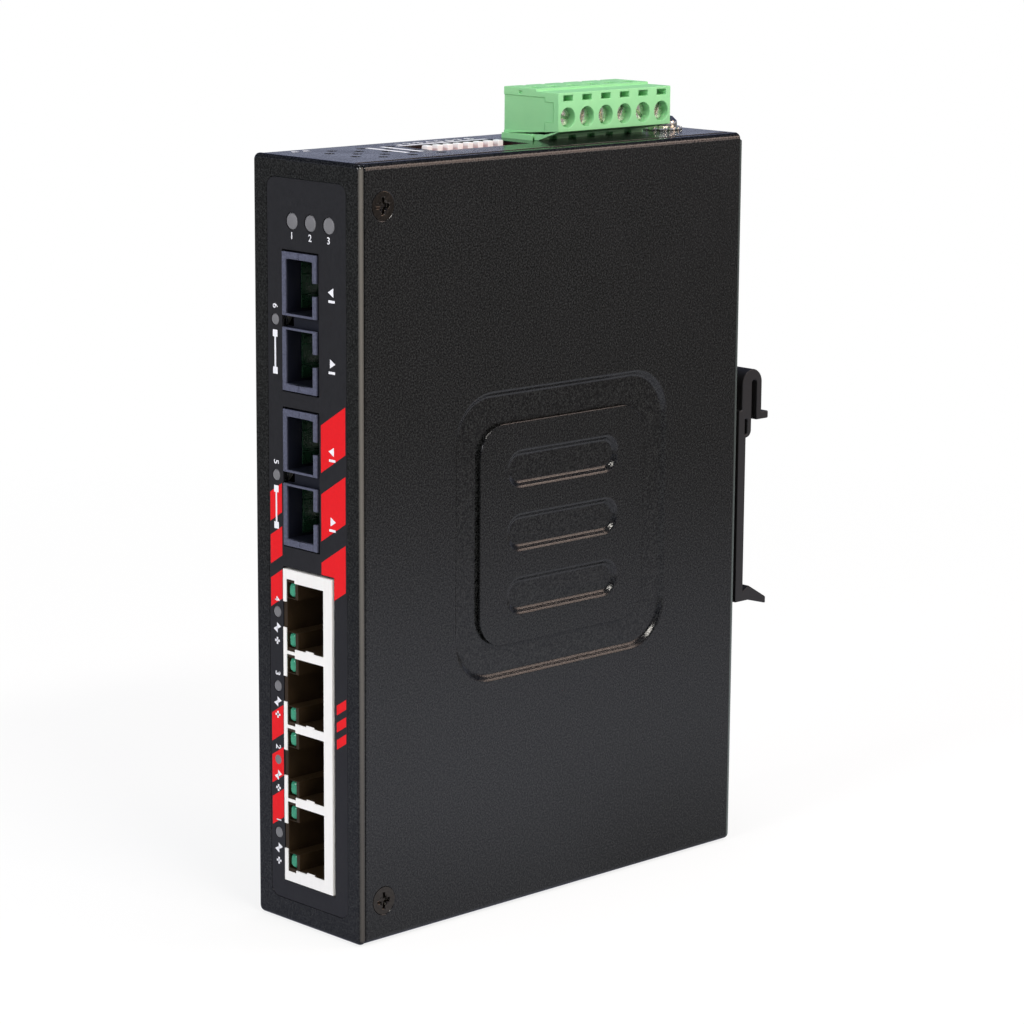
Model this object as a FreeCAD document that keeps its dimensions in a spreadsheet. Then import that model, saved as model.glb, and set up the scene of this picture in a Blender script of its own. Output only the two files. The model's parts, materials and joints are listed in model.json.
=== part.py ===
"""Rail-mounted industrial power over ethernet switch, in millimetres.

Frame: the origin is the centre of the case's underside, the ports face -Y, the rail clip is at +Y,
the broad pressed cover is at +X, and +Z is up.
"""
import FreeCAD
import Part
import Sketcher
import math
import os
import re

SIZES = [
    # Folded steel case
    ("case_width", 29.0),
    ("case_depth", 98.5),
    ("case_height", 142.0),
    ("sheet_wall", 1.0),
    ("seam_gap", 0.2),
    ("bend_radius", 1.2),
    ("front_bend", 0.8),
    ("rear_bend", 0.7),
    ("corner_notch", 0.7),
    ("corner_notch_tall", 1.3),
    ("corner_radius", 1.2),
    ("fold_return", 0.1),
    ("lip_width", 2.4),
    ("lip_relief", 0.5),
    ("lip_drop", 0.1),
    ("flange_reach", 8.5),
    ("vent_radius", 0.9),
    ("vent_pitch", 3.5),
    ("vent_start", 8.8),
    ("case_screw_back", 5.65),
    ("case_screw_inset", 7.6),
    ("case_screw_head", 5.4),
    ("case_screw_shank", 2.9),
    ("case_screw_length", 5.0),
    ("drive_reach", 3.0),
    ("drive_slot", 0.7),
    ("drive_depth", 0.8),
    ("drive_flare", 1.0),
    # Pressed relief in the broad cover
    ("press_width", 55.0),
    ("press_height", 54.0),
    ("press_corner", 9.0),
    ("press_stroke", 6.0),
    ("press_depth", 0.8),
    ("press_slope", 45.0),
    ("press_middle", 71.4),
    ("press_shift", 1.4),
    ("press_bead_half", 11.0),
    ("press_bead_radius", 3.4),
    ("press_bead_pitch", 12.0),
    # Printed film on the front
    ("label_width", 21.6),
    ("label_height", 134.0),
    ("label_bottom", 4.2),
    ("label_shift", 0.2),
    ("label_corner", 2.0),
    ("label_recess", 0.3),
    ("label_film", 0.25),
    ("label_gap", 0.08),
    # Fits
    ("fit_gap", 0.05),
    ("panel_gap", 0.25),
    ("slide_gap", 0.3),
    ("seat_gap", 0.1),
    # Circuit board
    ("board_wall", 1.6),
    ("board_offset", 7.5),
    ("board_margin", 4.0),
    ("standoff_radius", 3.0),
    ("standoff_inset", 6.5),
    ("standoff_front", 40.0),
    ("board_screw_shank", 2.9),
    ("board_screw_head", 5.5),
    ("board_screw_cap", 2.0),
    # Four-port copper jack
    ("jack_shift", 0.35),
    ("jack_width", 13.6),
    ("jack_depth", 21.5),
    ("jack_bottom", 8.0),
    ("jack_end", 2.38),
    ("jack_proud", 0.3),
    ("jack_skin", 0.25),
    ("port_pitch", 14.0),
    ("port_tall", 12.3),
    ("port_left_rim", 0.9),
    ("port_right_rim", 2.4),
    ("port_latch", 3.0),
    ("port_latch_tall", 6.2),
    ("port_rim_gap", 4.8),
    ("port_lamp_rise", 0.55),
    ("port_deep", 14.0),
    ("port_led_wide", 2.1),
    ("port_led_tall", 2.8),
    ("port_led_long", 5.0),
    ("contact_wire", 0.4),
    ("contact_pitch", 1.02),
    ("contact_start", 4.0),
    ("contact_lean", 2.4),
    ("foot_radius", 1.2),
    # Two duplex fibre modules
    ("fiber_shift", -1.5),
    ("fiber_width", 9.4),
    ("fiber_height", 25.1),
    ("fiber_depth", 38.0),
    ("fiber_middle", 84.0),
    ("fiber_pitch", 28.5),
    ("fiber_proud", 0.3),
    ("fiber_port_pitch", 12.7),
    ("fiber_port_wide", 7.3),
    ("fiber_port_tall", 9.75),
    ("fiber_port_deep", 14.0),
    ("fiber_key_tall", 2.35),
    ("fiber_key_deep", 7.0),
    ("fiber_notch_tall", 2.1),
    ("fiber_notch_deep", 1.2),
    ("sleeve_radius", 2.4),
    ("sleeve_bore", 1.25),
    ("sleeve_long", 5.5),
    ("latch_arm", 0.7),
    ("pin_wire", 0.6),
    ("pin_pitch", 2.54),
    # Indicators
    ("status_shift", 1.3),
    ("status_pitch", 5.0),
    ("status_height", 130.55),
    ("status_radius", 1.55),
    ("port_light_shift", -8.5),
    ("port_light_radius", 1.05),
    ("pipe_flange", 0.6),
    ("pipe_flange_wall", 0.8),
    ("status_pipe_long", 6.0),
    ("status_led_long", 5.0),
    ("lead_wire", 0.5),
    ("lead_pitch", 2.0),
    # Pluggable terminal block
    ("pole_pitch", 5.0),
    ("plug_gap", 1.2),
    ("header_width", 8.6),
    ("header_wall", 1.0),
    ("header_floor", 1.5),
    ("header_tall", 11.45),
    ("header_proud", 0.45),
    ("header_end", 0.3),
    ("header_notch", 0.5),
    ("header_notch_wide", 2.0),
    ("header_pin", 1.0),
    ("header_pin_tall", 8.0),
    ("header_pin_drop", 2.5),
    ("plug_back", 7.25),
    ("plug_face", 7.5),
    ("plug_tall", 8.85),
    ("plug_ridge", 1.5),
    ("plug_step", 0.45),
    ("plug_slope", 1.15),
    ("plug_lift_gap", 0.3),
    ("peg_side", 1.1),
    ("skirt_short", 0.7),
    ("clamp_height", 3.75),
    ("clamp_hole", 1.875),
    ("clamp_head", 1.65),
    ("clamp_head_tall", 1.2),
    ("clamp_recess", 1.4),
    ("clamp_shank", 1.3),
    ("clamp_ledge", 0.5),
    ("clamp_slot", 0.6),
    ("cage_wide", 3.8),
    ("cage_tall", 4.0),
    ("cage_long", 6.5),
    ("cage_wall", 0.5),
    ("cage_nut", 1.0),
    ("cage_travel", 1.2),
    ("window_wide", 2.5),
    ("window_tall", 1.1),
    ("window_deep", 2.2),
    ("window_height", 7.35),
    ("bar_wall", 0.8),
    ("bar_wide", 2.0),
    ("fork_wall", 0.4),
    ("fork_gap", 0.2),
    # Selector switch bank
    ("bank_shift", -0.3),
    ("bank_gap", 4.85),
    ("bank_width", 9.9),
    ("bank_length", 22.3),
    ("bank_tall", 5.0),
    ("bank_sunk", 0.8),
    ("lever_pitch", 2.54),
    ("lever_wide", 1.3),
    ("lever_long", 1.6),
    ("lever_travel", 1.4),
    ("lever_proud", 0.4),
    ("lever_foot", 1.0),
    # Earth screw
    ("earth_inset", 7.75),
    ("earth_head", 3.0),
    ("earth_cap", 2.2),
    ("earth_shank", 1.5),
    ("earth_shank_long", 5.0),
    ("earth_washer", 4.0),
    ("earth_washer_wall", 0.6),
    ("earth_tooth_gap", 0.5),
    # Rail clip
    ("clip_width", 25.0),
    ("clip_stand", 2.6),
    ("clip_plate", 2.2),
    ("clip_pad_width", 14.0),
    ("clip_pad_height", 30.0),
    ("clip_pad_corner", 1.5),
    ("clip_notch_height", 50.0),
    ("clip_foot", 2.0),
    ("clip_ridge_out", 1.7),
    ("clip_ridge_rise", 1.0),
    ("clip_tip_out", 6.8),
    ("clip_tip_wall", 1.4),
    ("rail_height", 35.0),
    ("rail_slot", 1.4),
    ("clip_loop_wall", 1.5),
    ("clip_loop_drop", 3.8),
    ("clip_loop_gap", 0.7),
    ("clip_leg", 1.5),
    ("clip_leg_step", 0.9),
    ("clip_grip", 0.5),
    ("clip_nose_wall", 1.5),
    ("clip_nose_reach", 2.0),
    ("clip_rise", 9.8),
    ("clip_bridge", 2.2),
    ("clip_shoulder", 1.8),
    ("clip_screw_pitch", 18.0),
    ("clip_screw_shank", 2.9),
    ("clip_screw_head", 5.4),
    ("clip_screw_long", 7.0),
    ("clip_nut_radius", 2.8),
    ("clip_nut_tall", 2.0),
    # Parts on the board
    ("chip_side", 16.0),
    ("chip_tall", 1.6),
    ("chip_gap", 3.0),
    ("sink_tall", 7.0),
    ("sink_base", 1.5),
    ("sink_fin", 1.0),
    ("magnet_gap", 3.0),
    ("magnet_deep", 15.5),
    ("magnet_high", 12.6),
    ("magnet_tall", 6.2),
    ("controller_side", 8.0),
    ("controller_tall", 1.2),
    ("controller_height", 40.0),
    ("power_back", 15.25),
    ("can_radius", 5.0),
    ("can_tall", 16.0),
    ("can_gap", 9.0),
    ("can_pitch", 16.0),
    ("coil_side", 12.0),
    ("coil_tall", 7.0),
    ("coil_height", 30.0),
    ("coil_pitch", 16.0),
    ("relay_long", 20.0),
    ("relay_wide", 10.0),
    ("relay_tall", 11.0),
    ("relay_gap", 3.0),
    ("fuse_long", 10.0),
    ("fuse_side", 3.0),
    ("fuse_height", 107.0),
]

LEVER_COUNT = 8
POLE_COUNT = 6
PORT_COUNT = 4
CONTACT_COUNT = 8
FIN_COUNT = 5
POWER_STAGES = 3
TOOTH_COUNT = 12

doc = FreeCAD.newDocument("switch")
sheet = doc.addObject("Spreadsheet::Sheet", "sizes")
for row, (alias, size) in enumerate(SIZES, start=1):
    sheet.set(f"A{row}", alias)
    sheet.set(f"B{row}", str(size))
    sheet.setAlias(f"B{row}", alias)
doc.recompute()

ALIASES = {alias for alias, size in SIZES}
WORD = re.compile(r"[a-z_][a-z_0-9]*")
NODES = []


def bound(text):
    """An expression with every size's name pointing at its cell."""
    return WORD.sub(lambda hit: f"sizes.{hit[0]}" if hit[0] in ALIASES else hit[0], str(text))


def number(text):
    """The present value of an expression."""
    return float(sheet.evalExpression(bound(text)))


def node(label, thing):
    """Names a finished sub-part, which also names its file."""
    thing.Label = label
    NODES.append(thing)
    return thing


def box(x, y, z):
    """A block between (low, high) pairs of expressions."""
    block = doc.addObject("Part::Box", "block")
    for size, axis, (low, high) in zip(("Length", "Width", "Height"), "xyz", (x, y, z)):
        block.setExpression(size, bound(f"({high}) - ({low})"))
        block.setExpression(f"Placement.Base.{axis}", bound(low))
    return block


TURNS = {
    "x": FreeCAD.Rotation(FreeCAD.Vector(0, 1, 0), 90),
    "y": FreeCAD.Rotation(FreeCAD.Vector(1, 0, 0), -90),
    "z": FreeCAD.Rotation(),
    "-x": FreeCAD.Rotation(FreeCAD.Vector(0, 1, 0), -90),
}


def stand(solid, axis, start):
    """Turns a round solid to an axis and puts its base centre at three expressions."""
    solid.Placement = FreeCAD.Placement(FreeCAD.Vector(), TURNS[axis])
    for letter, value in zip("xyz", start):
        solid.setExpression(f"Placement.Base.{letter}", bound(value))
    return solid


def rod(axis, start, length, radius):
    """A cylinder from its base centre along an axis."""
    cylinder = doc.addObject("Part::Cylinder", "rod")
    cylinder.setExpression("Radius", bound(radius))
    cylinder.setExpression("Height", bound(length))
    return stand(cylinder, axis, start)


def taper(axis, start, length, radius, end_radius):
    """A cone frustum from its base centre along an axis."""
    cone = doc.addObject("Part::Cone", "taper")
    cone.setExpression("Radius1", bound(radius))
    cone.setExpression("Radius2", bound(end_radius))
    cone.setExpression("Height", bound(length))
    return stand(cone, axis, start)


def fuse(parts):
    """One solid from parts that meet or overlap."""
    joined = doc.addObject("Part::MultiFuse", "joined")
    joined.Shapes = parts
    joined.Refine = True
    return joined


def cut(base, tools):
    """A base with every tool taken away."""
    carved = doc.addObject("Part::Cut", "carved")
    carved.Base = base
    carved.Tool = tools[0] if len(tools) == 1 else fuse(tools)
    carved.Refine = True
    return carved


def group(parts):
    """Separate like solids kept in one node."""
    together = doc.addObject("Part::Compound", "together")
    together.Links = parts
    return together


def new_body(name):
    return doc.addObject("PartDesign::Body", name)


def sketch(body, role, offset):
    """A sketch on one of the body's own origin planes, moved along the plane's normal."""
    plane = next(item for item in body.Origin.OriginFeatures if item.Role == role)
    drawing = body.newObject("Sketcher::SketchObject", "outline")
    drawing.AttachmentSupport = [(plane, "")]
    drawing.MapMode = "FlatFace"
    drawing.setExpression("AttachmentOffset.Base.z", bound(offset))
    return drawing


def pin_point(drawing, geometry, point, u, v):
    """Ties a point of a sketch to two expressions."""
    for kind, value in (("DistanceX", u), ("DistanceY", v)):
        tie = Sketcher.Constraint(kind, -1, 1, geometry, point, number(value))
        index = drawing.addConstraint(tie)
        drawing.setExpression(f"Constraints[{index}]", bound(value))


def tie_radius(drawing, geometry, radius):
    index = drawing.addConstraint(Sketcher.Constraint("Radius", geometry, number(radius)))
    drawing.setExpression(f"Constraints[{index}]", bound(radius))


def spot(u, v):
    return FreeCAD.Vector(number(u), number(v), 0)


def polygon(drawing, points):
    """A closed outline of straight lines through (u, v) pairs of expressions."""
    first = drawing.GeometryCount
    count = len(points)
    for index, point in enumerate(points):
        following = points[(index + 1) % count]
        drawing.addGeometry(Part.LineSegment(spot(*point), spot(*following)))
    for index in range(count):
        following = first + (index + 1) % count
        drawing.addConstraint(Sketcher.Constraint("Coincident", first + index, 2, following, 1))
    for index, point in enumerate(points):
        pin_point(drawing, first + index, 1, *point)


def rectangle(drawing, across, along):
    (low_u, high_u), (low_v, high_v) = across, along
    polygon(drawing, [(low_u, low_v), (high_u, low_v), (high_u, high_v), (low_u, high_v)])


def disc(drawing, u, v, radius):
    circle = Part.Circle(spot(u, v), FreeCAD.Vector(0, 0, 1), number(radius))
    index = drawing.addGeometry(circle)
    pin_point(drawing, index, 3, u, v)
    tie_radius(drawing, index, radius)


def round_outline(drawing, arcs, radius):
    """Arcs of one radius at (u, v, start, end) joined by tangent lines."""
    first = drawing.GeometryCount
    count = len(arcs)
    for u, v, start, end in arcs:
        circle = Part.Circle(spot(u, v), FreeCAD.Vector(0, 0, 1), number(radius))
        drawing.addGeometry(Part.ArcOfCircle(circle, math.radians(start), math.radians(end)))
    for index in range(count):
        begin = drawing.getPoint(first + index, 2)
        finish = drawing.getPoint(first + (index + 1) % count, 1)
        line = drawing.addGeometry(Part.LineSegment(begin, finish))
        drawing.addConstraint(Sketcher.Constraint("Tangent", first + index, 2, line, 1))
        following = first + (index + 1) % count
        drawing.addConstraint(Sketcher.Constraint("Tangent", line, 2, following, 1))
    for index, (u, v, start, end) in enumerate(arcs):
        pin_point(drawing, first + index, 3, u, v)
        tie_radius(drawing, first + index, radius)


def rounded_rectangle(drawing, across, along, radius):
    (low_u, high_u), (low_v, high_v) = across, along
    inner_u = (f"({low_u}) + ({radius})", f"({high_u}) - ({radius})")
    inner_v = (f"({low_v}) + ({radius})", f"({high_v}) - ({radius})")
    round_outline(drawing, [
        (inner_u[0], inner_v[0], 180, 270),
        (inner_u[1], inner_v[0], 270, 360),
        (inner_u[1], inner_v[1], 0, 90),
        (inner_u[0], inner_v[1], 90, 180),
    ], radius)


def obround(drawing, middle_u, middle_v, half_length, radius):
    left = f"({middle_u}) - ({half_length})"
    right = f"({middle_u}) + ({half_length})"
    round_outline(drawing, [(left, middle_v, 90, 270), (right, middle_v, -90, 90)], radius)


def proved(feature):
    """A feature that has been worked out without an error."""
    doc.recompute()
    if "Invalid" in feature.State or "Error" in feature.State:
        raise RuntimeError(f"{feature.Label} failed: {feature.State}")
    return feature


def pad(body, profile, length, reverse=False, slope="0", middle=False):
    feature = body.newObject("PartDesign::Pad", "pad")
    feature.Profile = profile
    feature.setExpression("Length", bound(length))
    feature.setExpression("TaperAngle", bound(slope))
    feature.Reversed = reverse
    feature.Midplane = middle
    body.Tip = feature
    return proved(feature)


def pocket(body, profile, depth=None, reverse=False, slope="0", middle=False):
    """A pocket, whose direction is proved by the volume that it takes."""
    before = body.Shape.Volume
    feature = body.newObject("PartDesign::Pocket", "pocket")
    feature.Profile = profile
    feature.Reversed = reverse
    feature.Midplane = middle
    if depth is None:
        feature.Type = "ThroughAll"
    else:
        feature.setExpression("Length", bound(depth))
        feature.setExpression("TaperAngle", bound(slope))
    body.Tip = feature
    proved(feature)
    if not body.Shape.Volume < before:
        raise RuntimeError(f"a pocket in {body.Name} takes nothing away")
    return feature


def fillet(body, chosen, radius):
    """Rounds the edges of the body's tip that a test chooses."""
    base = body.Tip
    feature = body.newObject("PartDesign::Fillet", "fillet")
    names = [f"Edge{i}" for i, edge in enumerate(base.Shape.Edges, start=1) if chosen(edge)]
    feature.Base = (base, names)
    feature.setExpression("Radius", bound(radius))
    body.Tip = feature
    return proved(feature)


def runs_along(edge, axis):
    """True for a straight edge along an axis, such as "x"."""
    span = [edge.BoundBox.XLength, edge.BoundBox.YLength, edge.BoundBox.ZLength]
    longest = span.pop("xyz".index(axis))
    return longest > NEAR and max(span) < NEAR


def lies_at(edge, axis, place):
    """True for an edge that lies in the plane at one place on an axis."""
    limits = edge.BoundBox
    low, high = {
        "x": (limits.XMin, limits.XMax),
        "y": (limits.YMin, limits.YMax),
        "z": (limits.ZMin, limits.ZMax),
    }[axis]
    return abs(low - place) < NEAR and abs(high - place) < NEAR


NEAR = 1e-4
HALF = "(case_width / 2)"
FRONT = "(-case_depth / 2)"
REAR = "(case_depth / 2)"
TOP = "case_height"
INSIDE_X = (f"(-{HALF} + sheet_wall)", f"({HALF} - sheet_wall)")
INSIDE_Z = ("sheet_wall", f"({TOP} - sheet_wall)")
FOLD = "(sheet_wall + fold_return)"
WRAP_FRONT = f"({FRONT} + {FOLD} + seam_gap)"
WRAP_Z = ("lip_drop", f"({TOP} - lip_drop)")
FLANGE_OUT = f"({HALF} - sheet_wall - seam_gap)"
FLANGE_IN = f"({FLANGE_OUT} - sheet_wall)"
CASE_SCREW_Y = f"({FRONT} + case_screw_back)"
CASE_SCREW_Z = ("case_screw_inset", f"({TOP} - case_screw_inset)")

BOARD_FACE = "(-board_offset)"
BOARD_BACK = "(-board_offset - board_wall)"
BOARD_FRONT = f"({FRONT} + board_margin)"
BOARD_REAR = f"({REAR} - board_margin)"
FRONT_ROW = f"({BOARD_FRONT} + standoff_front)"
POWER_Y = f"({BOARD_REAR} - power_back)"
LANE_Y = f"(({FRONT_ROW} + board_screw_head / 2 + {POWER_Y} - coil_side / 2) / 2)"

JACK_X = ("(jack_shift - jack_width / 2)", "(jack_shift + jack_width / 2)")
JACK_Y = (f"({FRONT} - jack_proud)", f"({FRONT} - jack_proud + jack_depth)")
JACK_TOP = f"(jack_bottom + 2 * jack_end + {PORT_COUNT - 1} * port_pitch + port_tall)"
JACK_Z = ("jack_bottom", JACK_TOP)

FIBER_X = ("(fiber_shift - fiber_width / 2)", "(fiber_shift + fiber_width / 2)")
FIBER_Y = (f"({FRONT} - fiber_proud)", f"({FRONT} - fiber_proud + fiber_depth)")
FIBER_MIDDLES = ("(fiber_middle + fiber_pitch)", "fiber_middle")

HEADER_X = (BOARD_FACE, f"({BOARD_FACE} + header_width)")
HEADER_HALF = f"(pole_pitch * {POLE_COUNT} / 2 + header_end)"
EARTH_Y = f"({REAR} - earth_inset)"
PLUG_Y = f"({EARTH_Y} - earth_washer - plug_gap - {HEADER_HALF})"
HEADER_Y = (f"({PLUG_Y} - {HEADER_HALF})", f"({PLUG_Y} + {HEADER_HALF})")
HEADER_TOP = f"({TOP} + header_proud)"
HEADER_Z = (f"({HEADER_TOP} - header_tall)", HEADER_TOP)
HEADER_PIN_X = f"({BOARD_FACE} + header_width / 2)"

BANK_X = ("(bank_shift - bank_width / 2)", "(bank_shift + bank_width / 2)")
BANK_MIDDLE = f"({HEADER_Y[0]} - bank_gap - bank_length / 2)"
BANK_Y = (f"({BANK_MIDDLE} - bank_length / 2)", f"({BANK_MIDDLE} + bank_length / 2)")
BANK_Z = (f"({TOP} - bank_sunk - bank_tall)", f"({TOP} - bank_sunk)")


def port_middle(index):
    """Height of a copper port's centre, counted from the lowest."""
    return f"(jack_bottom + jack_end + port_tall / 2 + {index} * port_pitch)"


def grow(limits, gap):
    low, high = limits
    return f"({low}) - ({gap})", f"({high}) + ({gap})"


def about(middle, size):
    return f"({middle}) - ({size}) / 2", f"({middle}) + ({size}) / 2"


def indicator_places():
    """Centre and radius of each light, the three status lights first."""
    status = [(f"status_shift + {i} * status_pitch", "status_height", "status_radius") for i in (-1, 0, 1)]
    heights = list(FIBER_MIDDLES) + [port_middle(index) for index in range(PORT_COUNT)]
    return status + [("port_light_shift", height, "port_light_radius") for height in heights]


def front_openings(drawing, gap):
    """The outlines that the ports and lights need in a front sheet."""
    rectangle(drawing, grow(JACK_X, gap), grow(JACK_Z, gap))
    for middle in FIBER_MIDDLES:
        rectangle(drawing, grow(FIBER_X, gap), grow(about(middle, "fiber_height"), gap))
    for x, z, radius in indicator_places():
        disc(drawing, x, z, f"{radius} + fit_gap")


def vents(drawing):
    """A staggered field of round vents, from the front edge as far back as the selector bank allows."""
    depth = number(f"{BANK_Y[0]} - panel_gap - vent_radius - ({FRONT} + vent_start)")
    lines = int(depth / number("vent_pitch")) + 1
    for column in range(5):
        for line in range(lines):
            if (column + line) % 2:
                disc(drawing, f"{column - 2} * vent_pitch",
                     f"{FRONT} + vent_start + {line} * vent_pitch", "vent_radius")


def make_front_chassis():
    """Front panel with its folded edges, top, bottom, long left wall and short right flange."""
    body = new_body("front_chassis")
    face = sketch(body, "XZ_Plane", f"-{FRONT}")
    rectangle(face, (f"-{HALF}", HALF), ("0", TOP))
    pad(body, face, FOLD, reverse=True)
    fillet(body, lambda edge: runs_along(edge, "y"), "corner_radius")
    fillet(body, lambda edge: lies_at(edge, "y", number(FRONT)), "front_bend")
    tray = sketch(body, "XZ_Plane", f"-({FRONT} + {FOLD})")
    rectangle(tray, INSIDE_X, INSIDE_Z)
    pocket(body, tray, "fold_return", reverse=True)

    panel_half = f"({HALF} - lip_width - seam_gap)"
    panel_y = (f"{FRONT} + {FOLD}", f"{REAR} - lip_width - seam_gap")
    for height, reverse in ((TOP, True), ("0", False)):
        panel = sketch(body, "XY_Plane", height)
        rectangle(panel, (f"-{panel_half}", panel_half), panel_y)
        pad(body, panel, "sheet_wall", reverse=reverse)

    step_y = f"({FRONT} + {FOLD})"
    long_end = f"{REAR} - sheet_wall - seam_gap"
    short_end = f"{step_y} + flange_reach"
    for side, end in (("-1", long_end), ("1", short_end)):
        wall = sketch(body, "XY_Plane", "lip_drop + sheet_wall + seam_gap")
        polygon(wall, [
            (f"{side} * ({HALF} - sheet_wall)", f"{step_y} - sheet_wall"),
            (f"{side} * {FLANGE_IN}", f"{step_y} - sheet_wall"),
            (f"{side} * {FLANGE_IN}", end),
            (f"{side} * {FLANGE_OUT}", end),
            (f"{side} * {FLANGE_OUT}", step_y),
            (f"{side} * ({HALF} - sheet_wall)", step_y),
        ])
        pad(body, wall, f"{TOP} - 2 * (lip_drop + sheet_wall + seam_gap)")

    openings = sketch(body, "XZ_Plane", f"-{FRONT}")
    front_openings(openings, "panel_gap")
    pocket(body, openings, "sheet_wall + seam_gap")
    recess = sketch(body, "XZ_Plane", f"-{FRONT}")
    rounded_rectangle(recess, about("label_shift", "label_width"),
                      ("label_bottom", "label_bottom + label_height"), "label_corner")
    pocket(body, recess, "label_recess")

    top_cuts = sketch(body, "XY_Plane", TOP)
    rectangle(top_cuts, grow(HEADER_X, "panel_gap"), grow(HEADER_Y, "panel_gap"))
    rectangle(top_cuts, grow(BANK_X, "panel_gap"), grow(BANK_Y, "panel_gap"))
    disc(top_cuts, "0", EARTH_Y, "earth_shank + fit_gap")
    vents(top_cuts)
    pocket(body, top_cuts, "sheet_wall + seam_gap")
    bottom_cuts = sketch(body, "XY_Plane", "sheet_wall")
    vents(bottom_cuts)
    pocket(body, bottom_cuts, "sheet_wall + seam_gap")

    tapped = sketch(body, "YZ_Plane", "0")
    for height in CASE_SCREW_Z:
        disc(tapped, CASE_SCREW_Y, height, "case_screw_shank / 2 + fit_gap")
    pocket(body, tapped, middle=True)
    return node("front_chassis", body)


def pressed_relief(drawing):
    """A stiffening frame with three beads inside it, seen on the broad cover."""
    middle = "press_shift"
    rounded_rectangle(drawing, about(middle, "press_width"),
                      about("press_middle", "press_height"), "press_corner")
    rounded_rectangle(drawing, about(middle, "press_width - 2 * press_stroke"),
                      about("press_middle", "press_height - 2 * press_stroke"),
                      "press_corner - press_stroke / 2")
    for step in (-1, 0, 1):
        height = f"press_middle + {step} * press_bead_pitch"
        obround(drawing, middle, height, "press_bead_half", "press_bead_radius")


def clip_screw_heights():
    middle = "(clip_notch_height + rail_height / 2)"
    return [f"({middle} {sign} clip_screw_pitch / 2)" for sign in "+-"]


def make_side_wrap():
    """One folded sheet: right cover, rear and left cover, with lips and notched top corners."""
    body = new_body("wrap")
    plan = sketch(body, "XY_Plane", WRAP_Z[0])
    rectangle(plan, (f"-{HALF}", HALF), (WRAP_FRONT, REAR))
    pad(body, plan, f"{TOP} - 2 * lip_drop")
    ends = [number(height) for height in WRAP_Z]

    def folded(edge):
        return runs_along(edge, "y") and any(lies_at(edge, "z", end) for end in ends)

    fillet(body, folded, "bend_radius")
    fillet(body, lambda edge: lies_at(edge, "y", number(REAR)), "rear_bend")
    hollow = sketch(body, "XZ_Plane", f"-{WRAP_FRONT}")
    rectangle(hollow, INSIDE_X, grow(WRAP_Z, "-sheet_wall"))
    pocket(body, hollow, f"{REAR} - sheet_wall - {WRAP_FRONT}")
    mouth = sketch(body, "XY_Plane", TOP)
    rectangle(mouth, (f"-{HALF} + lip_width", f"{HALF} - lip_width"),
              (f"{WRAP_FRONT} - seam_gap", f"{REAR} - lip_width"))
    pocket(body, mouth)
    slits = sketch(body, "XY_Plane", TOP)
    for side in ("-1", "1"):
        polygon(slits, [
            (f"{side} * ({HALF} - lip_width)", f"{REAR} - lip_width - seam_gap"),
            (f"{side} * ({HALF} - lip_width - lip_relief)", f"{REAR} - lip_width - seam_gap"),
            (f"{side} * ({HALF} - lip_width - lip_relief)", f"{REAR} - sheet_wall"),
            (f"{side} * ({HALF} - lip_width)", f"{REAR} - sheet_wall"),
        ])
    pocket(body, slits)
    inside = sketch(body, "YZ_Plane", f"{HALF} - sheet_wall")
    pressed_relief(inside)
    pad(body, inside, "press_depth", reverse=True, slope="-press_slope")
    outside = sketch(body, "YZ_Plane", HALF)
    pressed_relief(outside)
    pocket(body, outside, "press_depth", slope="-press_slope")
    holes = sketch(body, "XZ_Plane", f"-{REAR}")
    for height in clip_screw_heights():
        disc(holes, "0", height, "clip_screw_shank / 2 + fit_gap")
    pocket(body, holes, "sheet_wall + seam_gap", reverse=True)

    sinks = []
    left = (f"-{HALF} - seat_gap", f"-{HALF} + bend_radius")
    right = (f"{HALF} - bend_radius", f"{HALF} + seat_gap")
    for side in (left, right):
        sinks.append(box(side, (f"{REAR} - corner_notch", f"{REAR} + seat_gap"),
                         (f"{WRAP_Z[1]} - corner_notch_tall", TOP)))
    wide = "case_screw_head / 2 + fit_gap"
    for face, axis in ((HALF, "-x"), (f"-{HALF}", "x")):
        for height in CASE_SCREW_Z:
            start = (face, CASE_SCREW_Y, height)
            sinks.append(taper(axis, start, "sheet_wall", wide, f"{wide} - sheet_wall"))
    return node("side_wrap", cut(body, sinks))


def cross_recess(axis, place, sunk):
    """Two crossed slots for a screwdriver, between two places along a screw's axis."""
    slots = []
    for wide in (("drive_reach", "drive_slot"), ("drive_slot", "drive_reach")):
        across = iter(wide)
        limits = []
        for letter, middle in zip("xyz", place):
            limits.append(sunk if letter == axis else about(middle, next(across)))
        slots.append(box(*limits))
    return slots


def make_side_screws():
    """Flat-head screws, two on each side, that hold the wrap to the chassis flanges."""
    screws = []
    right = (f"{HALF} - drive_depth", f"{HALF} + seat_gap")
    left = (f"-{HALF} - seat_gap", f"-{HALF} + drive_depth")
    for face, axis, sunk in ((HALF, "-x", right), (f"-{HALF}", "x", left)):
        for height in CASE_SCREW_Z:
            start = (face, CASE_SCREW_Y, height)
            head = taper(axis, start, "sheet_wall",
                         "case_screw_head / 2", "case_screw_head / 2 - sheet_wall")
            shank = rod(axis, start, "case_screw_length", "case_screw_shank / 2")
            flare = taper(axis, start, "drive_depth", "drive_flare", "drive_flare / 3")
            screws.append(cut(fuse([head, shank]), [*cross_recess("x", start, sunk), flare]))
    return node("side_screws", group(screws))


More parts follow.
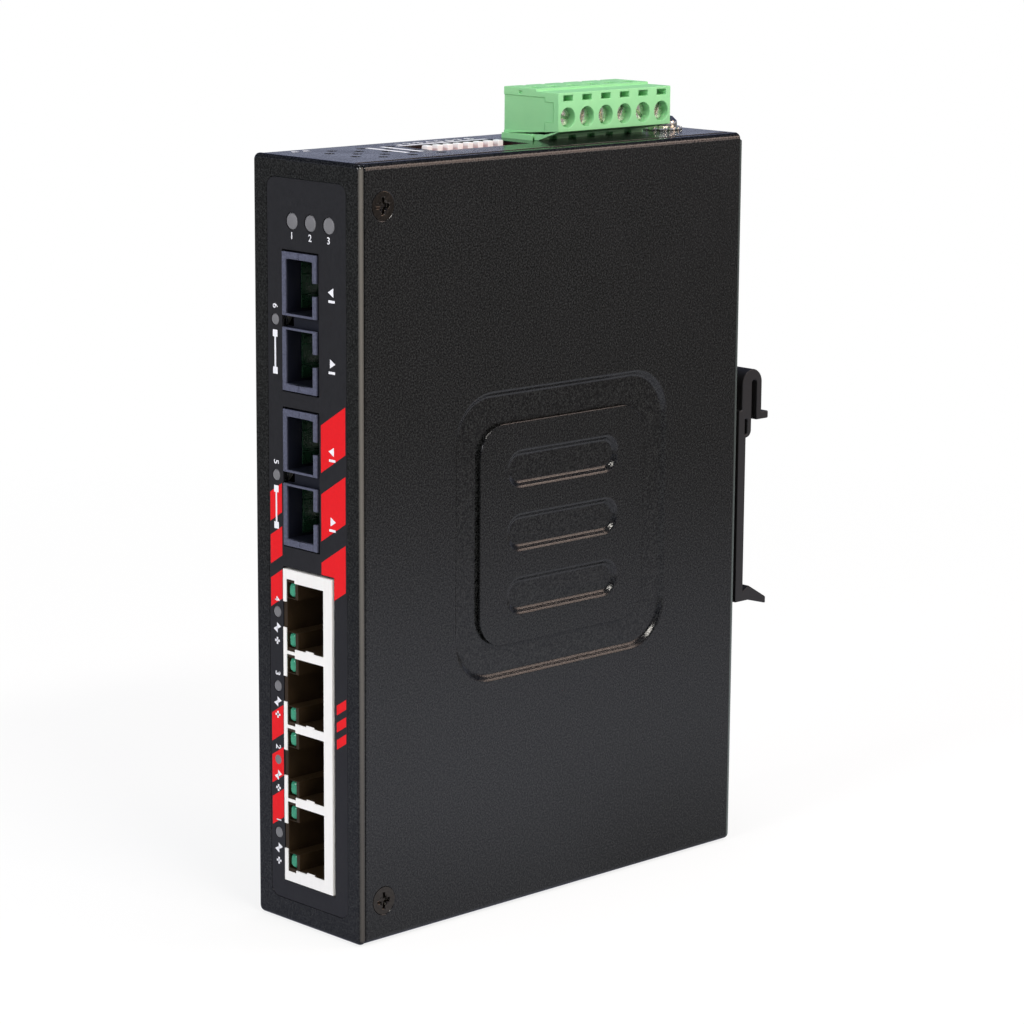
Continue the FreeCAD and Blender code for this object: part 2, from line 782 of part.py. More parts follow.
def make_front_label():
    """Printed film set in the front panel's shallow recess."""
    body = new_body("front_label")
    film = sketch(body, "XZ_Plane", f"-({FRONT} + label_recess)")
    rounded_rectangle(film, grow(about("label_shift", "label_width"), "-label_gap"),
                      grow(("label_bottom", "label_bottom + label_height"), "-label_gap"),
                      "label_corner - label_gap")
    pad(body, film, "label_film")
    windows = sketch(body, "XZ_Plane", f"-({FRONT} + label_recess - label_film)")
    front_openings(windows, "panel_gap + label_gap")
    pocket(body, windows, "label_film + seam_gap")
    return node("front_label", body)


def standoff_places():
    """Four spots on the board, as (y, z) pairs."""
    rows = (FRONT_ROW, f"{BOARD_REAR} - standoff_inset")
    heights = ("board_margin + standoff_inset", f"{TOP} - 2 * board_margin - 2 * standoff_inset")
    return [(y, z) for y in rows for z in heights]


def make_board():
    """Upright circuit board, with its standoffs and screws on the chassis's long wall."""
    plate = box((BOARD_BACK, BOARD_FACE), (BOARD_FRONT, BOARD_REAR),
                ("board_margin", f"{TOP} - board_margin"))
    bore = "board_screw_shank / 2 + fit_gap"
    holes = [rod("x", (f"{BOARD_BACK} - seat_gap", y, z), "board_wall + 2 * seat_gap", bore)
             for y, z in standoff_places()]
    node("main_board", cut(plate, holes))

    posts = []
    screws = []
    gap = f"({FLANGE_IN} - board_offset - board_wall)"
    for y, z in standoff_places():
        foot = (f"-{FLANGE_IN}", y, z)
        post = rod("x", foot, gap, "standoff_radius")
        posts.append(cut(post, [rod("x", (f"-{FLANGE_IN} + sheet_wall", y, z), gap, bore)]))
        seat = (BOARD_FACE, y, z)
        cap = rod("x", seat, "board_screw_cap", "board_screw_head / 2")
        reach = f"board_wall + {gap} - sheet_wall - seat_gap"
        shank = rod("-x", seat, reach, "board_screw_shank / 2")
        cap_top = f"({BOARD_FACE} + board_screw_cap)"
        crown = (f"{cap_top} - drive_depth", f"{cap_top} + seat_gap")
        screws.append(cut(fuse([cap, shank]), cross_recess("x", foot, crown)))
    node("board_standoffs", group(posts))
    node("board_screws", group(screws))


PORT_X = (f"({JACK_X[0]} + port_left_rim)", f"({JACK_X[1]} - port_right_rim)")
BODY_X = (f"({PORT_X[0]} + port_latch)", PORT_X[1])
PORT_BACK = f"({JACK_Y[0]} + port_deep)"


def port_led_places():
    """The (x, z) centre of each small light inside the copper ports."""
    x = f"{PORT_X[0]} + seat_gap + port_led_wide / 2"
    rise = "(port_tall / 2 - port_led_tall / 2 - seat_gap)"
    return [(x, f"{port_middle(port)} {sign} {rise}") for port in range(PORT_COUNT) for sign in "+-"]


def make_copper_jack():
    """Four ports in one tinned shield: skin, moulded insert, spring contacts and lights."""
    outer = box(JACK_X, JACK_Y, JACK_Z)
    inside = box((f"{JACK_X[0]} - seat_gap", f"{JACK_X[1]} - jack_skin"),
                 grow(JACK_Y, "-jack_skin"), grow(JACK_Z, "-jack_skin"))
    tools = [inside]
    for port in range(PORT_COUNT):
        face = (f"{JACK_Y[0]} - seat_gap", f"{JACK_Y[0]} + 2 * jack_skin")
        tools.append(box(PORT_X, face, about(port_middle(port), "port_tall")))
        tools.append(box((PORT_X[0], f"{PORT_X[0]} + port_led_wide + 2 * seat_gap"), face,
                         about(port_middle(port), "port_tall + 2 * port_lamp_rise")))
        tools.append(box((f"{JACK_X[0]} - seat_gap", f"{PORT_X[0]} + seat_gap"), face,
                         about(port_middle(port), "port_rim_gap")))
    node("rj45_shield", cut(outer, tools))

    skin = "jack_skin + fit_gap"
    insert = box((JACK_X[0], f"{JACK_X[1]} - ({skin})"),
                 grow(JACK_Y, f"-({skin})"), grow(JACK_Z, f"-({skin})"))
    feet = []
    for y in (f"{BOARD_FRONT} + foot_radius + seat_gap", f"{JACK_Y[1]} - 2 * foot_radius"):
        for z in (f"{JACK_Z[0]} + 2 * foot_radius", f"{JACK_Z[1]} - 2 * foot_radius"):
            feet.append(rod("x", (BOARD_FACE, y, z), f"{JACK_X[0]} + board_offset", "foot_radius"))
    hollows = []
    for port in range(PORT_COUNT):
        middle = port_middle(port)
        deep = (JACK_Y[0], PORT_BACK)
        hollows.append(box(BODY_X, deep, about(middle, "port_tall")))
        hollows.append(box((PORT_X[0], BODY_X[0]), deep, about(middle, "port_latch_tall")))
    pockets = []
    lights = []
    for x, z in port_led_places():
        face = f"{JACK_Y[0]} + jack_skin + fit_gap"
        light = (about(x, "port_led_wide"), (face, f"{face} + port_led_long"), about(z, "port_led_tall"))
        lights.append(box(*light))
        pockets.append(box(*(grow(limits, "fit_gap") for limits in light)))
    node("rj45_housing", cut(fuse([insert] + feet), hollows + pockets))
    node("rj45_leds", group(lights))
    make_copper_contacts()


def make_copper_contacts():
    """Eight slanted springs in each port, fixed in the back wall of its cavity."""
    body = new_body("rj45_contacts")
    first = f"{port_middle(0)} - {(CONTACT_COUNT - 1) / 2} * contact_pitch - contact_wire / 2"
    side = sketch(body, "XY_Plane", first)
    tip_x = f"{BODY_X[1]} - seat_gap"
    root_x = f"{BODY_X[1]} - contact_lean"
    polygon(side, [
        (tip_x, f"{JACK_Y[0]} + contact_start"),
        (tip_x, f"{JACK_Y[0]} + contact_start + 2 * contact_wire"),
        (f"{root_x} + contact_wire", PORT_BACK),
        (root_x, PORT_BACK),
        (f"{tip_x} - contact_wire", f"{JACK_Y[0]} + contact_start"),
    ])
    spring = pad(body, side, "contact_wire")
    axis = next(item for item in body.Origin.OriginFeatures if item.Role == "Z_Axis")
    rows = body.newObject("PartDesign::LinearPattern", "springs")
    rows.Originals = [spring]
    rows.Direction = (axis, [""])
    rows.setExpression("Length", bound(f"{CONTACT_COUNT - 1} * contact_pitch"))
    rows.Occurrences = CONTACT_COUNT
    rows.Direction2 = (axis, [""])
    rows.setExpression("Length2", bound(f"{PORT_COUNT - 1} * port_pitch"))
    rows.Occurrences2 = PORT_COUNT
    body.Tip = rows
    doc.recompute()
    return node("rj45_contacts", body)


def fiber_ports():
    """Height of the centre of each of the four fibre ports."""
    return [f"({middle} {sign} fiber_port_pitch / 2)" for middle in FIBER_MIDDLES for sign in "+-"]


FIBER_BACK = f"({FIBER_Y[0]} + fiber_port_deep)"
FIBER_PORT_X = about("fiber_shift", "fiber_port_wide")
PINS_PER_MODULE = 9


def make_fiber_modules():
    """Two moulded duplex modules, their alignment sleeves and their rows of pins."""
    for label, middle in zip(("fiber_module_upper", "fiber_module_lower"), FIBER_MIDDLES):
        block = box(FIBER_X, FIBER_Y, about(middle, "fiber_height"))
        feet = []
        for sign in "+-":
            for y in (f"{BOARD_FRONT} + 2 * foot_radius", f"{FIBER_Y[1]} - 2 * foot_radius"):
                z = f"{middle} {sign} (fiber_height / 2 - 2 * foot_radius)"
                feet.append(rod("x", (BOARD_FACE, y, z), f"{FIBER_X[0]} + board_offset", "foot_radius"))
        mouth = (f"{FIBER_Y[0]} - seat_gap", FIBER_BACK)
        hollows = [box(grow(FIBER_X, "seat_gap"), (mouth[0], f"{FIBER_Y[0]} + fiber_notch_deep"),
                       about(middle, "fiber_notch_tall"))]
        arms = []
        for sign in "+-":
            port = f"({middle} {sign} fiber_port_pitch / 2)"
            hollows.append(box(FIBER_PORT_X, mouth, about(port, "fiber_port_tall")))
            hollows.append(box((FIBER_PORT_X[1], f"{FIBER_X[1]} + seat_gap"),
                               (mouth[0], f"{FIBER_Y[0]} + fiber_key_deep"),
                               about(port, "fiber_key_tall")))
            for side in ("-1", "1"):
                x = f"fiber_shift + {side} * (sleeve_radius + latch_arm)"
                arms.append(box(about(x, "latch_arm"), (f"{FIBER_BACK} - sleeve_long", FIBER_BACK),
                                about(port, "2 * sleeve_radius")))
        node(label, fuse([cut(fuse([block] + feet), hollows)] + arms))

    sleeves = []
    for port in fiber_ports():
        start = ("fiber_shift", f"{FIBER_BACK} - sleeve_long", port)
        bore = ("fiber_shift", f"{FIBER_BACK} - sleeve_long - seat_gap", port)
        tube = cut(rod("y", start, "sleeve_long", "sleeve_radius"),
                   [rod("y", bore, "sleeve_long", "sleeve_bore")])
        sleeves.append(tube)
    node("fiber_sleeves", group(sleeves))

    pins = []
    for middle in FIBER_MIDDLES:
        for index in range(PINS_PER_MODULE):
            z = f"{middle} + {index - (PINS_PER_MODULE - 1) / 2} * pin_pitch"
            y = f"{FIBER_Y[1]} - 5 * foot_radius"
            pins.append(box((BOARD_FACE, FIBER_X[0]), about(y, "pin_wire"), about(z, "pin_wire")))
    node("fiber_pins", group(pins))


def make_indicators():
    """Clear light pipes in the front panel and the light sources behind them."""
    places = indicator_places()
    inner = f"({FRONT} + sheet_wall)"
    status_pipes = []
    status_lights = []
    for x, z, radius in places[:3]:
        stem = rod("y", (x, FRONT, z), "status_pipe_long", radius)
        collar = rod("y", (x, inner, z), "pipe_flange_wall", f"{radius} + pipe_flange")
        status_pipes.append(fuse([stem, collar]))
        back = f"({FRONT} + status_pipe_long)"
        bulb = rod("y", (x, back, z), "status_led_long", radius)
        bend = f"({back} + status_led_long)"
        leads = []
        for sign in "+-":
            leads.append(box((BOARD_FACE, f"{x} + lead_wire"), (bend, f"{bend} + lead_wire"),
                             about(f"{z} {sign} lead_pitch / 2", "lead_wire")))
        status_lights.append(fuse([bulb] + leads))
    node("status_light_pipes", group(status_pipes))
    node("status_leds", group(status_lights))

    port_pipes = []
    port_lights = []
    for x, z, radius in places[3:]:
        stem = rod("y", (x, FRONT, z), "sheet_wall + pipe_flange_wall", radius)
        collar = rod("y", (x, inner, z), "pipe_flange_wall", f"{radius} + pipe_flange")
        port_pipes.append(fuse([stem, collar]))
        seat = f"({inner} + pipe_flange_wall)"
        port_lights.append(box(about(x, f"2 * {radius}"), (seat, BOARD_FRONT), about(z, f"2 * {radius}")))
    node("port_light_pipes", group(port_pipes))
    node("port_leds", group(port_lights))


POLES = [f"({PLUG_Y} + {index - (POLE_COUNT - 1) / 2} * pole_pitch)" for index in range(POLE_COUNT)]
CLAMP_Z = f"({TOP} + header_proud + plug_lift_gap + clamp_height)"
PLUG_BOTTOM = f"({HEADER_TOP} + plug_lift_gap)"
PLUG_TOP = f"({PLUG_BOTTOM} + plug_tall)"
CAVITY_FLOOR = f"({HEADER_Z[0]} + header_floor)"
CAVITY_X = (f"({HEADER_X[0]} + header_wall)", f"({HEADER_X[1]} - header_wall)")
SKIRT_X = (f"({CAVITY_X[0]} + slide_gap)", f"({CAVITY_X[1]} - slide_gap)")
SKIRT_BOTTOM = f"({CAVITY_FLOOR} + skirt_short)"
HEAD_OUT = "(plug_face - clamp_recess)"
HEAD_IN = f"({HEAD_OUT} - clamp_head_tall)"
LEDGE_IN = f"({HEAD_IN} - seat_gap - clamp_ledge)"
NUT_OUT = f"({LEDGE_IN} - seat_gap - cage_travel)"
NUT_IN = f"({NUT_OUT} - cage_nut)"
CAGE_IN = f"({NUT_OUT} - cage_long)"
BAR_OUT = f"({NUT_IN} - slide_gap - cage_travel / 2)"
BAR_IN = f"({BAR_OUT} - bar_wall)"
CHAMBER_Z = grow(about(CLAMP_Z, "cage_tall"), "slide_gap")
CHAMBER_Y = "cage_wide + 2 * slide_gap"
JOG_Z = (f"({CHAMBER_Z[0]} - bar_wall)", CHAMBER_Z[0])
FORK_X = about(HEADER_PIN_X, "header_pin + 2 * (fork_gap + fork_wall)")


def make_terminal_header():
    """Green shrouded header beside the board's top edge, with six bent pins."""
    shroud = box(HEADER_X, HEADER_Y, HEADER_Z)
    well = box(CAVITY_X, grow(HEADER_Y, "-header_wall"), (CAVITY_FLOOR, f"{HEADER_TOP} + seat_gap"))
    tools = [well]
    way = "header_pin + 2 * fit_gap"
    for pole in POLES:
        tools.append(box(about(HEADER_PIN_X, way), about(pole, way),
                         (f"{HEADER_Z[0]} - seat_gap", f"{CAVITY_FLOOR} + seat_gap")))
    for index in range(POLE_COUNT + 1):
        gap = f"{PLUG_Y} + {index - POLE_COUNT / 2} * pole_pitch"
        tools.append(box((f"{CAVITY_X[1]} - seat_gap", f"{HEADER_X[1]} + seat_gap"),
                         about(gap, "header_notch_wide"),
                         (f"{HEADER_TOP} - header_notch", f"{HEADER_TOP} + seat_gap")))
    node("terminal_header", cut(shroud, tools))
    pins = []
    for pole in POLES:
        low = f"({HEADER_Z[0]} - header_pin_drop)"
        upright = box(about(HEADER_PIN_X, "header_pin"), about(pole, "header_pin"),
                      (low, f"{CAVITY_FLOOR} + header_pin_tall"))
        tail = box((BOARD_FACE, HEADER_PIN_X), about(pole, "header_pin"), (low, f"{low} + header_pin"))
        pins.append(fuse([upright, tail]))
    node("terminal_header_pins", group(pins))


def make_terminal_plug():
    """Green plug that lifts off the header: housing with six clamp chambers, and its contacts."""
    body = new_body("plug_block")
    half = f"(pole_pitch * {POLE_COUNT} / 2)"
    side = sketch(body, "XZ_Plane", f"-({PLUG_Y} + {half})")
    polygon(side, [
        ("-plug_back", PLUG_BOTTOM),
        (HEADER_X[1], PLUG_BOTTOM),
        ("plug_face", f"{PLUG_BOTTOM} + plug_slope"),
        ("plug_face", f"{PLUG_TOP} - plug_step"),
        ("plug_ridge", f"{PLUG_TOP} - plug_step"),
        ("plug_ridge", PLUG_TOP),
        ("-plug_back", PLUG_TOP),
    ])
    pad(body, side, f"2 * {half}")
    skirt = sketch(body, "XY_Plane", PLUG_BOTTOM)
    rectangle(skirt, SKIRT_X, grow(HEADER_Y, "-header_wall - slide_gap"))
    pad(body, skirt, f"{PLUG_BOTTOM} - {SKIRT_BOTTOM}", reverse=True)

    windows = sketch(body, "YZ_Plane", "plug_face")
    window_z = about(f"{PLUG_BOTTOM} + window_height", "window_tall")
    for pole in POLES:
        rectangle(windows, about(pole, "window_wide"), window_z)
    pocket(body, windows, "window_deep")
    mouths = sketch(body, "YZ_Plane", "plug_face")
    for pole in POLES:
        disc(mouths, pole, CLAMP_Z, "clamp_hole")
    pocket(body, mouths, f"plug_face - {HEAD_IN} + seat_gap")

    tools = []
    for pole in POLES:
        tools.append(box((f"{CAGE_IN} - slide_gap", LEDGE_IN), about(pole, CHAMBER_Y), CHAMBER_Z))
        tools.append(rod("x", (f"{LEDGE_IN} - seat_gap", pole, CLAMP_Z), "clamp_ledge + 2 * seat_gap",
                         "clamp_shank + seat_gap"))
        wire = (f"{CAGE_IN} + cage_wall", BAR_IN)
        tools.append(box(wire, about(pole, "cage_wide - 2 * cage_wall"),
                         (CHAMBER_Z[1], f"{PLUG_TOP} + seat_gap")))
        bar_way = about(pole, "bar_wide + 2 * seat_gap")
        tools.append(box((f"{FORK_X[0]} - seat_gap", f"{BAR_OUT} + seat_gap"), bar_way,
                         (f"{JOG_Z[0]} - fit_gap", CHAMBER_Z[0])))
        tools.append(box(grow(FORK_X, "seat_gap"), bar_way, (f"{SKIRT_BOTTOM} - seat_gap", JOG_Z[0])))
    pegs = []
    for step in (-2, 2):
        middle = f"{PLUG_Y} + {step} * pole_pitch"
        pegs.append(box((HEADER_X[1], f"{HEADER_X[1]} + peg_side"), about(middle, "peg_side"),
                        (f"{PLUG_BOTTOM} - seat_gap", f"{PLUG_BOTTOM} + plug_slope")))
    node("terminal_plug", cut(fuse([body] + pegs), tools))

    contacts = []
    for pole in POLES:
        wide = about(pole, "bar_wide")
        bar = box((BAR_IN, BAR_OUT), wide, (JOG_Z[0], f"{CHAMBER_Z[1]} - seat_gap"))
        jog = box((FORK_X[0], BAR_OUT), wide, (JOG_Z[0], f"{JOG_Z[1]} - fit_gap"))
        leaves = []
        for side in ("-1", "1"):
            x = f"{HEADER_PIN_X} + {side} * (header_pin / 2 + fork_gap + fork_wall / 2)"
            leaves.append(box(about(x, "fork_wall"), wide, (f"{SKIRT_BOTTOM} + skirt_short", JOG_Z[0])))
        contacts.append(fuse([bar, jog] + leaves))
    node("plug_contacts", group(contacts))


def make_terminal_clamps():
    """A slotted screw and a rising wire cage for each pole."""
    for index, pole in enumerate(POLES, start=1):
        head = rod("x", (HEAD_IN, pole, CLAMP_Z), "clamp_head_tall", "clamp_head")
        reach = f"{HEAD_IN} - {BAR_OUT} - slide_gap"
        shank = rod("-x", (HEAD_IN, pole, CLAMP_Z), reach, "clamp_shank")
        slot = box((f"{HEAD_OUT} - clamp_slot", f"{HEAD_OUT} + seat_gap"), about(pole, "clamp_slot"),
                   about(CLAMP_Z, "2 * clamp_head + 2 * seat_gap"))
        node(f"terminal_screw_{index}", cut(fuse([head, shank]), [slot]))
    for index, pole in enumerate(POLES, start=1):
        shell = box((CAGE_IN, NUT_OUT), about(pole, "cage_wide"), about(CLAMP_Z, "cage_tall"))
        way = box((f"{CAGE_IN} + cage_wall", NUT_IN), about(pole, "cage_wide - 2 * cage_wall"),
                  about(CLAMP_Z, "cage_tall + 2 * seat_gap"))
        thread = rod("x", (f"{NUT_IN} - seat_gap", pole, CLAMP_Z), "cage_nut + 2 * seat_gap",
                     "clamp_shank + seat_gap")
        node(f"wire_cage_{index}", cut(shell, [way, thread]))


def make_selector_bank():
    """Red bank of slide selectors on its own small board under the top panel."""
    steps = [index - (LEVER_COUNT - 1) / 2 for index in range(LEVER_COUNT)]
    levers = [f"({BANK_MIDDLE} + {step} * lever_pitch)" for step in steps]
    travel = about("bank_shift", "lever_long + lever_travel + 2 * slide_gap")
    floor = f"({BANK_Z[1]} - lever_foot - seat_gap)"
    slot_z = (floor, f"{BANK_Z[1]} + seat_gap")
    slots = [box(travel, about(y, "lever_wide + 2 * slide_gap"), slot_z) for y in levers]
    node("selector_body", cut(box(BANK_X, BANK_Y, BANK_Z), slots))
    board = box((BOARD_FACE, f"{BANK_X[1]} + lip_width"), grow(BANK_Y, "lever_wide"),
                (f"{BANK_Z[0]} - board_wall", BANK_Z[0]))
    node("selector_board", board)
    for index, y in enumerate(levers, start=1):
        rest = about("bank_shift - lever_travel / 2", "lever_long")
        lever = box(rest, about(y, "lever_wide"), (f"{floor} + seat_gap", f"{TOP} + lever_proud"))
        node(f"selector_lever_{index}", lever)


def make_earth_screw():
    """Pan-head screw and toothed washer on the top panel."""
    washer_top = f"({TOP} + earth_washer_wall)"
    disc_shape = rod("z", ("0", EARTH_Y, TOP), "earth_washer_wall", "earth_washer")
    through = "earth_washer_wall + 2 * seat_gap"
    bore = rod("z", ("0", EARTH_Y, f"{TOP} - seat_gap"), through, "earth_shank + seat_gap")
    teeth = []
    for index in range(TOOTH_COUNT):
        angle = 2 * math.pi * index / TOOTH_COUNT
        place = (f"earth_washer * {math.cos(angle):.6f}",
                 f"{EARTH_Y} + earth_washer * {math.sin(angle):.6f}", f"{TOP} - seat_gap")
        teeth.append(rod("z", place, through, "earth_tooth_gap"))
    node("earth_washer", cut(disc_shape, [bore] + teeth))
    body = new_body("earth_turned")
    profile = sketch(body, "XZ_Plane", f"-{EARTH_Y}")
    polygon(profile, [
        ("0", f"{TOP} - earth_shank_long"),
        ("earth_shank", f"{TOP} - earth_shank_long"),
        ("earth_shank", washer_top),
        ("earth_head", washer_top),
        ("earth_head", f"{washer_top} + earth_cap / 2"),
        ("earth_head * 0.7", f"{washer_top} + earth_cap * 0.9"),
        ("earth_head * 0.3", f"{washer_top} + earth_cap"),
        ("0", f"{washer_top} + earth_cap"),
    ])
    turned = body.newObject("PartDesign::Revolution", "turned")
    turned.Profile = profile
    turned.ReferenceAxis = (profile, ["V_Axis"])
    turned.Angle = 360.0
    body.Tip = turned
    doc.recompute()
    crown = (f"{washer_top} + earth_cap - drive_depth", f"{washer_top} + earth_cap + seat_gap")
    node("earth_screw", cut(body, cross_recess("z", ("0", EARTH_Y, "0"), crown)))


CLIP_FRONT = f"({REAR} + clip_stand)"
CLIP_BACK = f"({CLIP_FRONT} + clip_plate)"
RAIL_TOP = "(clip_notch_height + rail_height)"


def make_rail_clip():
    """One moulded clip: plate, notch for the rail's lower edge, hairpin spring over its upper edge."""
    body = new_body("clip")
    arm = f"({CLIP_FRONT} + clip_leg_step)"
    slot_in = f"({CLIP_BACK} + clip_loop_wall)"
    slot_out = f"({slot_in} + rail_slot)"
    leg_out = f"({slot_out} + clip_leg)"
    nose_out = f"({leg_out} + clip_nose_reach)"
    nose_low = f"({RAIL_TOP} - clip_grip)"
    crown = f"({RAIL_TOP} + clip_rise)"
    slot_top = f"({crown} - clip_bridge)"
    loop_low = f"({RAIL_TOP} - clip_loop_drop)"
    shoulder = f"({RAIL_TOP} + clip_shoulder)"
    low = "(clip_notch_height - clip_foot)"
    side = sketch(body, "YZ_Plane", "0")
    polygon(side, [
        (CLIP_FRONT, low),
        (f"{CLIP_BACK} + clip_ridge_out", low),
        (f"{CLIP_BACK} + clip_tip_out", f"{low} - clip_tip_wall"),
        (f"{CLIP_BACK} + clip_tip_out", low),
        (f"{CLIP_BACK} + clip_ridge_out", "clip_notch_height + clip_ridge_rise"),
        (CLIP_BACK, "clip_notch_height"),
        (CLIP_BACK, loop_low),
        (slot_in, loop_low),
        (slot_in, slot_top),
        (slot_out, slot_top),
        (slot_out, nose_low),
        (nose_out, nose_low),
        (nose_out, f"{nose_low} + clip_nose_wall"),
        (leg_out, f"{nose_low} + clip_nose_wall"),
        (leg_out, crown),
        (arm, crown),
        (arm, shoulder),
        (CLIP_FRONT, shoulder),
    ])
    pad(body, side, "clip_width", middle=True)
    fillet(body, lambda edge: runs_along(edge, "x") and lies_at(edge, "z", number(crown)),
           f"({leg_out} - {arm}) / 2 - fit_gap")
    fillet(body, lambda edge: runs_along(edge, "x") and lies_at(edge, "z", number(slot_top)),
           "rail_slot / 2 - fit_gap")
    fillet(body, lambda edge: runs_along(edge, "x") and lies_at(edge, "z", number(loop_low))
           and lies_at(edge, "y", number(slot_in)), "clip_loop_wall - fit_gap")
    eye = sketch(body, "YZ_Plane", "0")
    rectangle(eye, about(CLIP_BACK, "clip_loop_gap"), (f"{loop_low} + clip_loop_gap", RAIL_TOP))
    pocket(body, eye, middle=True)
    boss = sketch(body, "XZ_Plane", f"-{CLIP_FRONT}")
    middle = "(clip_notch_height + rail_height / 2)"
    rounded_rectangle(boss, about("0", "clip_pad_width"),
                      about(middle, "clip_pad_height"), "clip_pad_corner")
    pad(body, boss, "clip_stand")

    holes = []
    screws = []
    nuts = []
    for height in clip_screw_heights():
        length = "clip_stand + clip_plate"
        reach = "(clip_screw_head / 2 - clip_screw_shank / 2)"
        holes.append(rod("y", ("0", f"{REAR} - seat_gap", height), f"{length} + 2 * seat_gap",
                         "clip_screw_shank / 2 + fit_gap"))
        holes.append(taper("y", ("0", f"{CLIP_BACK} - {reach}", height), reach,
                           "clip_screw_shank / 2 + fit_gap", "clip_screw_head / 2 + fit_gap"))
        shank = rod("y", ("0", f"{CLIP_BACK} - clip_screw_long", height), "clip_screw_long",
                    "clip_screw_shank / 2")
        head = taper("y", ("0", f"{CLIP_BACK} - {reach}", height), reach,
                     "clip_screw_shank / 2", "clip_screw_head / 2")
        sunk = (f"{CLIP_BACK} - drive_depth", f"{CLIP_BACK} + seat_gap")
        screws.append(cut(fuse([shank, head]), cross_recess("y", ("0", "0", height), sunk)))
        nut = rod("y", ("0", f"{REAR} - sheet_wall - clip_nut_tall", height), "clip_nut_tall",
                  "clip_nut_radius")
        thread = rod("y", ("0", f"{REAR} - sheet_wall - clip_nut_tall - seat_gap", height),
                     "clip_nut_tall + 2 * seat_gap", "clip_screw_shank / 2 + fit_gap")
        nuts.append(cut(nut, [thread]))
    node("din_rail_clip", cut(body, holes))
    node("din_clip_screws", group(screws))
    node("din_clip_nuts", group(nuts))


def on_board(tall, y, z):
    """A block that stands on the board's face."""
    return box((BOARD_FACE, f"{BOARD_FACE} + {tall}"), y, z)


def make_board_parts():
    """The larger parts soldered to the board, as plain packages."""
    fuse_z = about("fuse_height", "fuse_side")
    node("input_fuse", on_board("fuse_side", about(LANE_Y, "fuse_long"), fuse_z))
    relay_top = f"({fuse_z[0]} - relay_gap)"
    relay_low = f"({relay_top} - relay_long)"
    node("alarm_relay", on_board("relay_tall", about(LANE_Y, "relay_wide"), (relay_low, relay_top)))

    chip_y = about(LANE_Y, "chip_side")
    chip_middle = f"({relay_low} - chip_gap - chip_side / 2)"
    chip_z = about(chip_middle, "chip_side")
    node("switch_chip", on_board("chip_tall", chip_y, chip_z))
    base_x = f"({BOARD_FACE} + chip_tall)"
    slab = box((base_x, f"{base_x} + sink_base"), chip_y, chip_z)
    fins = []
    for index in range(FIN_COUNT):
        z = f"{chip_middle} + {index / (FIN_COUNT - 1) - 0.5} * (chip_side - sink_fin)"
        fins.append(box((f"{base_x} + sink_base", f"{base_x} + sink_tall"), chip_y, about(z, "sink_fin")))
    node("switch_heatsink", fuse([slab] + fins))
    node("poe_controller", on_board("controller_tall", about(LANE_Y, "controller_side"),
                                    about("controller_height", "controller_side")))

    magnet_y = (f"{JACK_Y[1]} + magnet_gap", f"{JACK_Y[1]} + magnet_gap + magnet_deep")
    magnets = [on_board("magnet_tall", magnet_y, about(port_middle(port), "magnet_high"))
               for port in range(PORT_COUNT)]
    node("lan_transformers", group(magnets))
    coils = []
    cans = []
    coil_top = f"(coil_height + {POWER_STAGES - 1} * coil_pitch + coil_side / 2)"
    for index in range(POWER_STAGES):
        coils.append(on_board("coil_tall", about(POWER_Y, "coil_side"),
                              about(f"coil_height + {index} * coil_pitch", "coil_side")))
        can_z = f"{coil_top} + can_gap + can_radius + {index} * can_pitch"
        cans.append(rod("x", (BOARD_FACE, POWER_Y, can_z), "can_tall", "can_radius"))
    node("power_inductors", group(coils))
    node("bulk_capacitors", group(cans))


make_side_wrap()
make_front_chassis()
make_front_label()
make_side_screws()
make_board()
make_copper_jack()
make_fiber_modules()
make_indicators()
make_terminal_header()
make_terminal_plug()
make_terminal_clamps()
make_selector_bank()
make_earth_screw()
make_rail_clip()
make_board_parts()

doc.recompute()
for thing in doc.Objects:
    if "Invalid" in thing.State or "Error" in thing.State:
        raise RuntimeError(f"{thing.Label} failed: {thing.State}")
for thing in NODES:
    if thing.Shape.isNull() or not thing.Shape.isValid():
        raise RuntimeError(f"{thing.Label} has no valid shape")

os.makedirs("parts", exist_ok=True)
for thing in NODES:
    thing.Shape.exportStep(f"parts/{thing.Label}.step")
print(f"{len(NODES)} nodes written")
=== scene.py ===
"""Looks of the rail-mounted power over ethernet switch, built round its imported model."""
import json
import math

import bpy
from mathutils import Matrix, Vector


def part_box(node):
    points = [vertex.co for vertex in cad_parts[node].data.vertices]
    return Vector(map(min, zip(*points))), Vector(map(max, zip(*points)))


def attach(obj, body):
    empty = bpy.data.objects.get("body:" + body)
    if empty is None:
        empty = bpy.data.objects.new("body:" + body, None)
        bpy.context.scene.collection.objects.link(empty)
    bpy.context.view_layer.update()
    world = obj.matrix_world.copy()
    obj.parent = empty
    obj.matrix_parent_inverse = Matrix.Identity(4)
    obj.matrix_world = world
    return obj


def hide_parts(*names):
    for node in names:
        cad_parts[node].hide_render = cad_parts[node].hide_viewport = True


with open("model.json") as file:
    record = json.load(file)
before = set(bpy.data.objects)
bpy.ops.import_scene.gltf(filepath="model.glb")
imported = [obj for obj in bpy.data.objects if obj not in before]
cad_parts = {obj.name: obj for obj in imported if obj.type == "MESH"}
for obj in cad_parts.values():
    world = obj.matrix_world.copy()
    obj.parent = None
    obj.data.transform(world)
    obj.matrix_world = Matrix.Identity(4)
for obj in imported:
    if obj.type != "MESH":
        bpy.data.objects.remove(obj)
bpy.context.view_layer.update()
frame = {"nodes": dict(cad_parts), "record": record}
MM = 0.001
SLOT_OF = {entry["node"]: entry["material_slot"] for entry in frame["record"]["subparts"]}
BODY_OF = {node: body for body, nodes in frame["record"]["behaviour"]["bodies"].items() for node in nodes}


